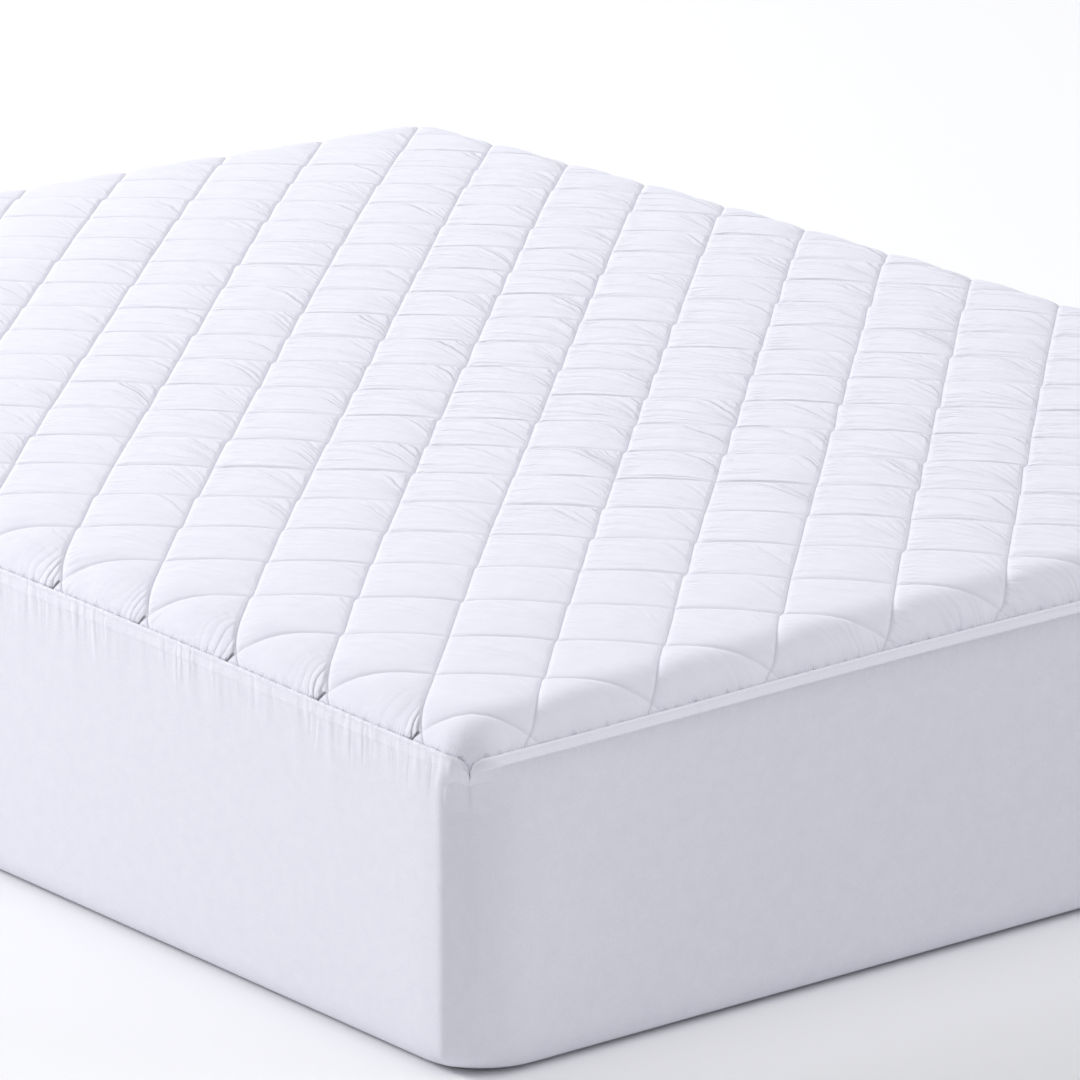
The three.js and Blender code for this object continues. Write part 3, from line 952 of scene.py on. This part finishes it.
def mixed(tree, share, colour, other):
    node = addNode(tree, "ShaderNodeMix", data_type="RGBA")
    first, second = [socket for socket in node.inputs if socket.type == "RGBA"]
    feed(tree, node.inputs["Factor"], share)
    feed(tree, first, colour)
    second.default_value = (*other, 1)
    return [socket for socket in node.outputs if socket.type == "RGBA"][0]


def toned(tree, colour, value):
    node = addNode(tree, "ShaderNodeHueSaturation")
    feed(tree, node.inputs["Color"], colour)
    feed(tree, node.inputs["Value"], value)
    return node.outputs["Color"]


def bumped(tree, height, strength, distance, over=None):
    bump = addNode(tree, "ShaderNodeBump", Strength=strength, Distance=distance)
    feed(tree, bump.inputs["Height"], height)
    if over is not None:
        feed(tree, bump.inputs["Normal"], over)
    return bump.outputs["Normal"]


def newMaterial(name, surface):
    # surface holds values by the names of the shader's sockets
    material = bpy.data.materials.new(name)
    material.use_nodes = True
    shader = material.node_tree.nodes["Principled BSDF"]
    for key, value in surface.items():
        shader.inputs[key].default_value = value
    return material, material.node_tree, shader


def finishMaterial(tree, shader, colour, normal):
    feed(tree, shader.inputs["Base Color"], colour)
    feed(tree, shader.inputs["Normal"], normal)


wrinkles = {
    "across": 4.6,  # wrinkles over one diamond
    "length": 0.6,
    "bend": (0.6, 0.95),  # how far they curve down to the right, in diamonds
    "bendPower": 2.3,
    "bendFlattens": 0.85,
    "sway": (3.0, 0.2),  # lumps over one diamond and how far they move a wrinkle
    "swayLayer": 4.0,
    "streak": (1.0, 0.45),  # detail and roughness
    "cellsApart": 50.0,  # in the noise, so that no two diamonds are alike
    "depth": 0.0028,
    "crisp": 4.5,
    "arcs": ((0.97, 0.0010), (0.64, 0.0006), (1.25, 0.0007)),  # long ones in every diamond: place and depth
    "arcWidth": 0.045,
    "arcsDiffer": 0.2,
    "arcsSetIn": (0.02, 0.4),
    "clearOfLines": (0.0, 0.05),
    "fromFoot": (0.0, 9.0),  # lines from the foot over which they set in
    "fromLeft": (-12.0, 0.0),  # and from the left
    "least": 0.2,
    "patches": 4.0,  # to a metre
    "patchEdge": (0.3, 0.75),
    "patchFill": 0.45,
    "bundle": ((0.0, 0.5), (0.1, 0.8)),  # where they bunch, along and across the diamond
    "cellsDiffer": (0.55, 0.5),  # least strength and how much it varies
    "overall": 0.9,
    # short ones where the cloth leaves the steep line
    "short": {
        "across": 11.0,
        "along": 4.0,
        "crisp": 5.0,
        "depth": 0.0013,
        "from": (0.0, 0.04),
        "to": (0.06, 0.3),
    },
}

sewnLines = {
    "flat": {"depth": 0.0006, "width": 0.0022, "shade": 0.03},  # shade: painted shade along each line, where the needle holes and the groove lie in shadow
    "steep": {"depth": 0.0008, "width": 0.0012, "shade": 0.06},
    "lineShadeWidth": 0.0012,
    "lostInWrinkles": 0.4,  # how much of a flat line is lost where wrinkles are
    "lostRight": 0.6,  # and how much more to the right of its diamond
    "lostFrom": (0.15, 0.75),
}


def diamondRelief(tree, u, v):
    # wrinkles in each diamond and the sewn lines between them: their height, and the painted shade along the
    # lines
    do, ramp, noise = partial(maths, tree), partial(ramped, tree), partial(noiseOf, tree)
    minus = lambda value: do("SUBTRACT", 1.0, value)
    f, g = do("FRACT", v), do("FRACT", u)
    awayU, awayV = do("MINIMUM", g, minus(g)), do("MINIMUM", f, minus(f))
    chance = addNode(tree, "ShaderNodeTexWhiteNoise", noise_dimensions="3D")
    feed(tree, chance.inputs["Vector"], combine(tree, do("FLOOR", u), do("FLOOR", v), 0.0))
    split = addNode(tree, "ShaderNodeSeparateColor")
    feed(tree, split.inputs[0], chance.outputs["Color"])
    bendChance, lineChance, depthChance = split.outputs[:3]

    # the fan: lines that start level at the left and fall to the crossing at the lower right
    low, high = wrinkles["bend"]
    bend = do("ADD", do("MULTIPLY", bendChance, high - low), low)
    curve = do("MULTIPLY", do("POWER", f, wrinkles["bendPower"]), bend)
    fan = do("MINIMUM", do("DIVIDE", g, minus(curve)), do("ADD", g, curve))
    inFan = do("LESS_THAN", fan, 1.0)
    ease = minus(do("MULTIPLY", inFan, curve, wrinkles["bendFlattens"]))
    lumps, moves = wrinkles["sway"]
    swayPlace = combine(tree, do("MULTIPLY", u, lumps), do("MULTIPLY", v, lumps), wrinkles["swayLayer"])
    sway = noise(swayPlace, 1.0)
    line = do("ADD", fan, do("MULTIPLY", do("SUBTRACT", sway, 0.5), moves))

    # more of them at the far and right side of the bed and in the lower right half of each diamond
    patches = noise(clothVector(tree, wrinkles["patches"]), 1.0)
    region = do("MULTIPLY", ramp(u, *wrinkles["fromFoot"]), ramp(v, *wrinkles["fromLeft"]))
    region = do("ADD", do("MULTIPLY", region, 1 - wrinkles["least"]), wrinkles["least"])
    patchy = do("ADD", patches, do("MULTIPLY", region, wrinkles["patchFill"]))
    region = do("MULTIPLY", region, ramp(patchy, *wrinkles["patchEdge"]))
    least, varies = wrinkles["cellsDiffer"]
    strength = do("ADD", do("MULTIPLY", depthChance, varies), least)
    along, across = wrinkles["bundle"]
    bundle = do("MULTIPLY", ramp(f, *along), ramp(fan, *across), strength, region)
    much = do("MAXIMUM", bundle, do("MULTIPLY", region, region, wrinkles["overall"]))
    clear = wrinkles["clearOfLines"]
    much = do("MULTIPLY", much, ramp(awayV, *clear), ramp(awayU, *clear))

    run = (do("MULTIPLY", line, wrinkles["across"]), do("MULTIPLY", f, wrinkles["length"]))
    cell = do("MULTIPLY", lineChance, wrinkles["cellsApart"])
    streak = noise(combine(tree, *run, cell), *wrinkles["streak"])
    crease = do("MULTIPLY", do("ABSOLUTE", do("SUBTRACT", streak, 0.5)), wrinkles["crisp"])
    height = do("MULTIPLY", do("MINIMUM", crease, 1.0), much, ease, wrinkles["depth"])
    arcShare = do("MULTIPLY", ramp(f, *wrinkles["arcsSetIn"]), region, strength, ease)
    shifted = do("ADD", line, do("MULTIPLY", do("SUBTRACT", lineChance, 0.5), wrinkles["arcsDiffer"]))
    for place, depth in wrinkles["arcs"]:
        away = do("DIVIDE", do("SUBTRACT", shifted, place), wrinkles["arcWidth"])
        height = do("SUBTRACT", height, do("MULTIPLY", bell(tree, away), arcShare, depth))

    short = wrinkles["short"]
    run = combine(tree, do("MULTIPLY", u, short["across"]), do("MULTIPLY", f, short["along"]), do("FLOOR", v))
    crease = do("MULTIPLY", do("ABSOLUTE", do("SUBTRACT", noise(run, 1.0), 0.5)), short["crisp"])
    atLine = do("MULTIPLY", minus(ramp(f, *short["to"])), ramp(f, *short["from"]), region, short["depth"])
    height = do("ADD", height, do("MULTIPLY", do("MINIMUM", crease, 1.0), atLine))

    lostRight = do("MULTIPLY", region, ramp(f, *sewnLines["lostFrom"]), sewnLines["lostRight"])
    flatSeen = minus(do("ADD", do("MULTIPLY", region, sewnLines["lostInWrinkles"]), lostRight))
    shades = []
    for away, line, seen in ((awayU, sewnLines["flat"], flatSeen), (awayV, sewnLines["steep"], 1.0)):
        span = do("MULTIPLY", away, panel["lineSpacing"])
        groove = do("EXPONENT", do("DIVIDE", span, -line["width"]))
        height = do("SUBTRACT", height, do("MULTIPLY", groove, seen, line["depth"]))
        # painted shade along each sewn line, for the shadow in its needle holes and groove
        paintedLineShade = bell(tree, do("DIVIDE", span, sewnLines["lineShadeWidth"]))
        shades.append(do("MULTIPLY", paintedLineShade, seen, line["shade"]))
    return height, do("ADD", *shades)


pleats = {
    "spacing": 0.0115,  # beside the end of each steep line, at the long seams
    "depth": 0.0022,
    "reach": 0.022,
    "power": 0.8,
    "wander": (28.0, 2.6),  # lumps to a metre, how far they move a pleat
    "squash": 0.65,  # below 1 it draws the arcs out, square to the seam
    "fades": (0.02, 0.075),  # from the seam
    "differ": (0.3, 1.0),  # least strength and how much it varies
    "cellsApart": 40.0,
    "clearance": 0.008,  # they set in over this way from the steep line and from the flat one
    # a gap just above the last bit of each flat line, widening from the seam, dented in and darkened with
    # painted shade
    "gapWidening": 0.3,
    "gap": (0.0005, 0.0035),
    "gapEdge": 0.0008,
    "gapEnd": (-0.003, 0.001),  # from the crossing
    "gapDepth": 0.0025,
    # painted shade in the gap
    "gapPaintedShade": 0.6,
    # the seam's own small puckers, all round
    "tickSpacing": 0.0034,
    "tickDepth": 0.0004,
    "tickReach": 0.008,
    "tickWander": 14.0,
}


def seamRelief(tree, across, along):
    # pleats in arcs round each crossing at the long seams, gaps and puckers: their height, and the gaps as a
    # mask for painted shade
    do, ramp = partial(maths, tree), partial(ramped, tree)
    minus = lambda value: do("SUBTRACT", 1.0, value)
    side = do("SIGN", across)
    toSeam = do("SUBTRACT", panelHalfWidth, do("ABSOLUTE", across))
    toEnd = do("SUBTRACT", panelHalfLength, do("ABSOLUTE", along))
    halfAlong = panel["diamondsAlong"] / 2 - 0.5 - panel["diamondsAcross"] / 2
    linesAlong = do("ADD", do("DIVIDE", along, panel["diamondLength"]), halfAlong)
    fromEnd = do("SUBTRACT", panelHalfWidth / panel["diamondWidth"], do("MULTIPLY", side, linesAlong))
    beside = do("MULTIPLY", do("FRACT", fromEnd), panel["diamondLength"])
    lumps, moves = pleats["wander"]
    wander = noiseOf(tree, clothVector(tree, lumps), 0.0)

    past = do("MULTIPLY", do("MAXIMUM", do("SUBTRACT", toSeam, lastCrossing), 0.0), pleats["squash"])
    toLine = do("SUBTRACT", beside, lastCrossing)
    arc = do("SQRT", do("ADD", do("MULTIPLY", toLine, toLine), do("MULTIPLY", past, past)))
    phase = do("ADD", do("DIVIDE", arc, pleats["spacing"]), do("MULTIPLY", wander, moves))
    wave = do("POWER", do("ABSOLUTE", do("SINE", do("MULTIPLY", phase, math.pi))), pleats["power"])
    nearLine = do("EXPONENT", do("DIVIDE", do("SUBTRACT", arc, lastCrossing), -pleats["reach"]))
    chance = addNode(tree, "ShaderNodeTexWhiteNoise", noise_dimensions="1D")
    whichPleat = do("ADD", phase, do("MULTIPLY", do("FLOOR", fromEnd), pleats["cellsApart"]))
    feed(tree, chance.inputs["W"], do("FLOOR", whichPleat))
    least, varies = pleats["differ"]
    strength = do("ADD", do("MULTIPLY", chance.outputs["Value"], varies), least)
    aboveFlat = do("SUBTRACT", do("ADD", beside, toSeam), 2 * lastCrossing)
    leftOfLine = ramp(do("MINIMUM", do("SUBTRACT", beside, toSeam), aboveFlat), 0.0, pleats["clearance"])
    nearSeam = minus(ramp(toSeam, *pleats["fades"]))
    much = do("MULTIPLY", nearSeam, do("MINIMUM", nearLine, 1.0), strength, leftOfLine)
    height = do("MULTIPLY", wave, much, pleats["depth"])

    widened = do("SUBTRACT", aboveFlat, do("MULTIPLY", toSeam, pleats["gapWidening"]))
    starts, ends = (lastCrossing + shift for shift in pleats["gapEnd"])
    edge = pleats["gapEdge"]
    gap = do("MULTIPLY", ramp(aboveFlat, -edge, edge), minus(ramp(widened, *pleats["gap"])))
    gap = do("MULTIPLY", gap, minus(ramp(toSeam, starts, ends)))
    height = do("SUBTRACT", height, do("MULTIPLY", gap, pleats["gapDepth"]))

    for place, away in ((along, toSeam), (across, toEnd)):
        turns = do("MULTIPLY", place, 2 * math.pi / pleats["tickSpacing"])
        tick = do("SINE", do("ADD", turns, do("MULTIPLY", wander, pleats["tickWander"])))
        near = bell(tree, do("DIVIDE", away, pleats["tickReach"]))
        height = do("ADD", height, do("MULTIPLY", tick, near, wander, pleats["tickDepth"]))
    return height, gap


cotton = {
    "colour": (0.83, 0.83, 0.91),
    "shade": (0.80, 0.80, 0.89),
    "stops": (0.35, 0.7),
    "mottle": (4.0, 0.6, 34.0),  # detail, roughness and scale
    "weave": (450, 0.6),  # scale and unevenness of the threads
    "weaveBump": (0.15, 0.0003),  # strength and depth
    "crumple": (3.0, 0.55, 150.0),  # detail, roughness and scale
    "crumpleBump": (0.3, 0.0006),
    "surface": {"Roughness": 0.86, "Specular IOR Level": 0.25, "Sheen Weight": 0.12, "Sheen Roughness": 0.5},
}


def makeCotton():
    material, tree, shader = newMaterial("quilted_cotton", cotton["surface"])
    do = partial(maths, tree)
    vector = clothVector(tree)
    u, v = partsOf(tree, attributeOf(tree, "cell"))[:2]
    across, along = partsOf(tree, vector)[:2]
    diamonds, paintedLineShade = diamondRelief(tree, u, v)
    seam, gap = seamRelief(tree, across, along)
    # painted shade in the seam gaps and along the sewn lines, darkening the colour
    shade = do("ADD", do("MULTIPLY", gap, pleats["gapPaintedShade"]), paintedLineShade)
    colour = toned(tree, mottled(tree, vector, cotton), do("SUBTRACT", 1.0, shade))
    weave = do("ADD", *(bandsOf(tree, vector, direction, *cotton["weave"]) for direction in "XY"))
    normal = bumped(tree, weave, *cotton["weaveBump"])
    normal = bumped(tree, noiseOf(tree, vector, *cotton["crumple"]), *cotton["crumpleBump"], normal)
    normal = bumped(tree, do("ADD", diamonds, seam), 1.0, 1.0, normal)
    finishMaterial(tree, shader, colour, normal)
    return material


knit = {
    "colour": (0.80, 0.80, 0.87),
    "shade": (0.77, 0.77, 0.85),
    "stops": (0.3, 0.7),
    "mottle": (5.0, 0.65, 60.0),  # detail, roughness and scale
    "doubledAndLit": (0.85, 0.85, 0.93),  # over the seam allowance: lighter for the doubled cloth, and painted light where the raised strip catches the light
    "stripEnd": (0.0112, 0.0142),  # below the seam
    "stripShare": 1.35,  # how clearly it shows, less so the more the cloth is gathered
    "rim": (0.915, 0.915, 0.995),  # painted highlight on its rolled upper edge
    "rimEnd": (-0.0022, -0.0006),
    "rimBroken": (1.0, 0.5, 260.0),  # detail, roughness and scale of the dashes along it
    "rimDashes": (0.45, 0.6),
    "rimLessBroken": 0.4,  # at the ends
    "rimDimmed": 0.3,  # at the sides
    "speckle": 0.07,
    "speckleScale": 620,
    "speckleNoise": (2.0, 0.6),  # detail and roughness
    "underStripShadow": 0.07,  # painted shadow just under the strip at the ends: how much darker the cloth is made there
    "underStripAt": 0.0125,
    "underStripEdge": (-0.001, 0.0015),
    "underStripReach": 0.010,
    "wales": (175, 1.5),  # scale and unevenness
    "walesBump": (0.1, 0.0002),  # strength and depth
    "grain": (3.0, 0.6, 420.0),  # detail, roughness and scale
    "grainBump": (0.5, 0.0005),
    "surface": {"Roughness": 0.9, "Specular IOR Level": 0.2, "Sheen Weight": 0.15, "Sheen Roughness": 0.5},
}

gathers = {
    "spacing": 0.015,
    "stretch": 9.0,
    "crisp": 3.2,
    "depth": 0.0012,
    "reach": 0.075,  # how far down the longest ones run
    "reachLumps": (22.0, 7.0),  # to a metre, and their place in the noise
    "fade": 0.02,
    "groups": (9.0, 3.0),  # to a metre, and their place in the noise
    "groupEdge": (0.3, 0.6),
}


def gatherRelief(tree, place, down, gathered):
    do, ramp, noise = partial(maths, tree), partial(ramped, tree), partial(noiseOf, tree)
    minus = lambda value: do("SUBTRACT", 1.0, value)
    run = combine(tree, do("DIVIDE", place, gathers["spacing"]), do("MULTIPLY", down, gathers["stretch"]), 0.0)
    crease = do("MULTIPLY", do("ABSOLUTE", do("SUBTRACT", noise(run, 1.0), 0.5)), gathers["crisp"])
    lumps, layer = gathers["reachLumps"]
    reach = noise(combine(tree, do("MULTIPLY", place, lumps), layer, 0.0), 1.0)
    below = do("SUBTRACT", down, do("MULTIPLY", reach, gathers["reach"]))
    fade = minus(ramp(below, -gathers["fade"], gathers["fade"]))
    lumps, layer = gathers["groups"]
    groups = noise(combine(tree, do("MULTIPLY", place, lumps), layer, 0.0), 1.0)
    much = do("MULTIPLY", fade, ramp(groups, *gathers["groupEdge"]), gathered, gathers["depth"])
    return do("MULTIPLY", do("MINIMUM", crease, 1.0), much)


def makeKnit():
    material, tree, shader = newMaterial("stretch_knit", knit["surface"])
    do, ramp, noise = partial(maths, tree), partial(ramped, tree), partial(noiseOf, tree)
    minus = lambda value: do("SUBTRACT", 1.0, value)
    vector = clothVector(tree)
    place, down, gathered = partsOf(tree, vector)
    stripThere = partsOf(tree, attributeOf(tree, "edge"))[0]

    # the strip over the seam allowance is lighter: doubled cloth, and painted light for its raised face
    ends = do("SUBTRACT", knit["stripShare"], gathered)
    strip = do("MULTIPLY", minus(ramp(down, *knit["stripEnd"])), ends, stripThere)
    colour = mixed(tree, strip, mottled(tree, vector, knit), knit["doubledAndLit"])
    # painted highlight along the rolled upper edge, in dashes, dimmer at the sides
    lessBroken = do("MULTIPLY", minus(gathered), knit["rimLessBroken"])
    dashes = ramp(do("ADD", noise(vector, *knit["rimBroken"]), lessBroken), *knit["rimDashes"])
    dimmed = minus(do("MULTIPLY", gathered, knit["rimDimmed"]))
    onRim = do("MULTIPLY", minus(ramp(down, *knit["rimEnd"])), dashes, dimmed)
    colour = mixed(tree, onRim, colour, knit["rim"])

    # painted shadow under the strip at the ends
    below = do("SUBTRACT", down, knit["underStripAt"])
    under = do("EXPONENT", do("DIVIDE", below, -knit["underStripReach"]))
    under = do("MULTIPLY", under, ramp(below, *knit["underStripEdge"]), stripThere, minus(gathered))
    speckles = noise(clothVector(tree, knit["speckleScale"]), *knit["speckleNoise"])
    speckles = do("MULTIPLY", do("SUBTRACT", speckles, 0.5), 2 * knit["speckle"])
    colour = toned(tree, colour, do("ADD", speckles, minus(do("MULTIPLY", under, knit["underStripShadow"]))))

    normal = bumped(tree, bandsOf(tree, vector, "X", *knit["wales"]), *knit["walesBump"])
    normal = bumped(tree, noise(vector, *knit["grain"]), *knit["grainBump"], normal)
    normal = bumped(tree, gatherRelief(tree, place, down, gathered), 1.0, 1.0, normal)
    finishMaterial(tree, shader, colour, normal)
    return material


ticking = {
    "colour": (0.76, 0.74, 0.7),
    "shade": (0.66, 0.64, 0.6),
    "stops": (0, 1),
    "mottle": (4.0, 0.6, 40.0),  # detail, roughness and scale
    "twill": (90.0, 0.8),  # scale and unevenness
    "twillBump": (0.25, 0.0004),  # strength and depth
    "surface": {"Roughness": 0.9},
}


def makeTicking():
    material, tree, shader = newMaterial("mattress_ticking", ticking["surface"])
    place = addNode(tree, "ShaderNodeTexCoord").outputs["Object"]
    normal = bumped(tree, bandsOf(tree, place, "DIAGONAL", *ticking["twill"]), *ticking["twillBump"])
    finishMaterial(tree, shader, mottled(tree, place, ticking), normal)
    return material


cottonMaterial, knitMaterial, tickingMaterial = makeCotton(), makeKnit(), makeTicking()
quiltedTop.data.materials.append(cottonMaterial)
stretchSkirt.data.materials.append(knitMaterial)
mattressBlock.data.materials.append(tickingMaterial)
print("materials made")

# stitches
stitches = {
    "quilting": {"pitch": 0.0048, "length": 0.0037, "thickness": 0.0008, "seed": 3},
    "seam": {"pitch": 0.0046, "length": 0.0034, "thickness": 0.0009, "seed": 5},
    "hem": {"pitch": 0.0046, "length": 0.0036, "thickness": 0.0009, "seed": 7},
    "vary": (0.88, 1.08),
    "sides": 3,
    "rings": 2,
    "quiltingLift": 0.0001,
    "quiltingStops": 0.004,  # before the seam
    "seamLift": 0.0002,
    "seamInside": 0.0042,
    "hemLeast": 0.0006,  # above the floor
}


def stitchTree():
    # small threads set along a curve, each lying in its direction
    tree = bpy.data.node_groups.new("stitch row", "GeometryNodeTree")
    face = tree.interface
    face.new_socket("Line", in_out="INPUT", socket_type="NodeSocketGeometry")
    kinds = {"pitch": "Float", "length": "Float", "thickness": "Float", "seed": "Int", "thread": "Material"}
    sockets = {
        key: face.new_socket(key.capitalize(), in_out="INPUT", socket_type="NodeSocket" + kind).identifier
        for key, kind in kinds.items()
    }
    face.new_socket("Stitches", in_out="OUTPUT", socket_type="NodeSocketGeometry")
    join = tree.links.new
    given, result = addNode(tree, "NodeGroupInput").outputs, addNode(tree, "NodeGroupOutput").inputs
    points = addNode(tree, "GeometryNodeCurveToPoints", mode="LENGTH")
    join(given["Line"], points.inputs["Curve"])
    join(given["Pitch"], points.inputs["Length"])
    thread = addNode(
        tree, "GeometryNodeMeshUVSphere", Segments=stitches["sides"], Rings=stitches["rings"], Radius=0.5
    )
    size = addNode(tree, "ShaderNodeCombineXYZ")
    for axis, name in zip("XYZ", ("Thickness", "Thickness", "Length")):
        join(given[name], size.inputs[axis])
    shaped = addNode(tree, "GeometryNodeTransform")
    join(thread.outputs["Mesh"], shaped.inputs["Geometry"])
    join(size.outputs[0], shaped.inputs["Scale"])
    vary = addNode(tree, "FunctionNodeRandomValue", data_type="FLOAT")
    floats = [socket for socket in vary.inputs if socket.type == "VALUE"]
    floats[0].default_value, floats[1].default_value = stitches["vary"]
    join(given["Seed"], vary.inputs["Seed"])
    placed = addNode(tree, "GeometryNodeInstanceOnPoints")
    join(points.outputs["Points"], placed.inputs["Points"])
    join(shaped.outputs["Geometry"], placed.inputs["Instance"])
    join(points.outputs["Rotation"], placed.inputs["Rotation"])
    join([socket for socket in vary.outputs if socket.type == "VALUE"][0], placed.inputs["Scale"])
    real = addNode(tree, "GeometryNodeRealizeInstances")
    join(placed.outputs["Instances"], real.inputs["Geometry"])
    finish = addNode(tree, "GeometryNodeSetMaterial")
    join(real.outputs["Geometry"], finish.inputs["Geometry"])
    join(given["Thread"], finish.inputs["Material"])
    join(finish.outputs["Geometry"], result["Stitches"])
    return tree, sockets


def bakeStitches(name, rows, tree, sockets, thread):
    curve = bpy.data.curves.new(name + "_path", "CURVE")
    curve.dimensions = "3D"
    for row in rows:
        spline = curve.splines.new("POLY")
        spline.points.add(len(row) - 1)
        spline.points.foreach_set("co", np.column_stack([row, np.ones(len(row))]).ravel())
    path = bpy.data.objects.new(name + "_path", curve)
    bpy.context.scene.collection.objects.link(path)
    modifier = path.modifiers.new("stitches", "NODES")
    modifier.node_group = tree
    for key, value in stitches[name].items():
        modifier[sockets[key]] = value
    modifier[sockets["thread"]] = thread
    graph = bpy.context.evaluated_depsgraph_get()
    mesh = bpy.data.meshes.new_from_object(path.evaluated_get(graph), depsgraph=graph)
    mesh.name = name + "_stitches"
    bpy.data.objects.remove(path)
    bpy.data.curves.remove(curve)
    piece = bpy.data.objects.new(mesh.name, mesh)
    bpy.context.scene.collection.objects.link(piece)
    return piece


def quiltingRows():
    # along every sewn line, through the same points as the panel's own mesh
    flatGrid, steepGrid = lineGrid()
    flatFrom, flatTo = panel["flatLines"]
    steepFrom, steepTo = panel["steepLines"]
    lines = [(np.full_like(steepGrid, k), steepGrid) for k in range(flatFrom + 1, flatTo)]
    lines += [(flatGrid, np.full_like(flatGrid, k)) for k in range(steepFrom + 1, steepTo)]
    rows = []
    for u, v in lines:
        across, along = linesToCloth(u, v + jogAt(u, v))
        keep = fromSeam(across, along) > stitches["quiltingStops"]
        if keep.sum() < 3:
            continue
        across, along, u, v = across[keep], along[keep], u[keep], v[keep]
        rows.append(topPoint(across, along, faceLift(across, along, u, v) + stitches["quiltingLift"]))
    return rows


def closed(ring):
    return np.concatenate([ring, ring[:1]])


def seamRow(across, along):
    w, l = panelHalfWidth - stitches["seamInside"], panelHalfLength - stitches["seamInside"]
    across, along = np.clip(across, -w, w), np.clip(along, -l, l)
    lift = faceLift(across, along, *clothToLines(across, along)) + stitches["seamLift"]
    return closed(topPoint(across, along, lift))


def hemRow(across, along, longSide):
    columns = sideColumns(across, along, longSide, panel["clearance"])
    walked = np.full(len(across), hemAt - skirt["foldWidth"])
    hem = sidePoint(columns, walked, panel["clearance"] + skirt["thickness"])
    hem[:, 2] = np.maximum(hem[:, 2], stitches["hemLeast"])
    return closed(hem)


def makeStitches():
    tree, sockets = stitchTree()
    across, along, longSide = seamPlaces()[:3]
    return [
        bakeStitches("quilting", quiltingRows(), tree, sockets, cottonMaterial),
        bakeStitches("seam", [seamRow(across, along)], tree, sockets, cottonMaterial),
        bakeStitches("hem", [hemRow(across, along, longSide)], tree, sockets, knitMaterial),
    ]


stitchPieces = makeStitches()
print("stitches made:", [len(piece.data.polygons) for piece in stitchPieces])

# floor and light
studio = {
    "floor": {"Base Color": (0.93, 0.93, 0.945, 1), "Roughness": 0.9},
    "floorHalf": 40,
    "floorLevel": -0.0005,
    "sky": (0.96, 0.97, 1.0),
    "skyPower": 0.3,
    # where each light comes from, its power and its softness in degrees
    "lights": {
        "back": ((0.50, 0.70, 0.36), 0.6, 30),
        "overhead": ((0.0, -0.2, 1.0), 1.0, 70),
        "fill": ((0.80, -0.45, 0.48), 0.73, 50),
    },
    "lightsAway": 6,
    # the main light, from beyond the head on the long side's hand, near enough to fade across the bed
    "window": {"comesFrom": (-0.53, 0.76, 0.42), "away": 11.0, "power": 2.33, "size": 3.0},
}


def placeLight(name, data, comesFrom, away):
    made = bpy.data.objects.new(name, data)
    made.rotation_euler = Vector(comesFrom).to_track_quat("Z", "Y").to_euler()
    made.location = Vector(comesFrom).normalized() * away
    bpy.context.scene.collection.objects.link(made)


def makeLights():
    for name, (comesFrom, power, softness) in studio["lights"].items():
        data = bpy.data.lights.new(name, "SUN")
        data.energy = power
        data.angle = math.radians(softness)
        placeLight(name, data, comesFrom, studio["lightsAway"])
    window = studio["window"]
    data = bpy.data.lights.new("window", "AREA")
    data.shape = "SQUARE"
    data.size = window["size"]
    data.energy = window["power"] * math.pi * window["away"] ** 2
    placeLight("window", data, window["comesFrom"], window["away"])


def makeStudio():
    s = studio["floorHalf"]
    floor = newPiece("floor", [(-s, -s, 0), (s, -s, 0), (s, s, 0), (-s, s, 0)], [(0, 1, 2, 3)])
    floor.location.z = studio["floorLevel"]
    floor.data.materials.append(newMaterial("floor_pale", studio["floor"])[0])
    world = bpy.data.worlds.new("studio")
    bpy.context.scene.world = world
    world.use_nodes = True
    back = world.node_tree.nodes["Background"]
    back.inputs["Color"].default_value = (*studio["sky"], 1)
    back.inputs["Strength"].default_value = studio["skyPower"]
    makeLights()
    view = bpy.context.scene.view_settings
    view.view_transform = "Standard"
    view.look = "None"
    view.exposure = 0


makeStudio()
print("studio made")

for piece, node, slot in (
    (quiltedTop, "quilted_top", "quilted_cotton"),
    (stretchSkirt, "skirt", "stretch_knit"),
    (mattressBlock, "mattress", "mattress_ticking"),
):
    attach(piece, "root")
    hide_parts(node)
for piece, slot in zip(stitchPieces, ("quilted_cotton", "quilted_cotton", "stretch_knit")):
    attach(piece, "root")
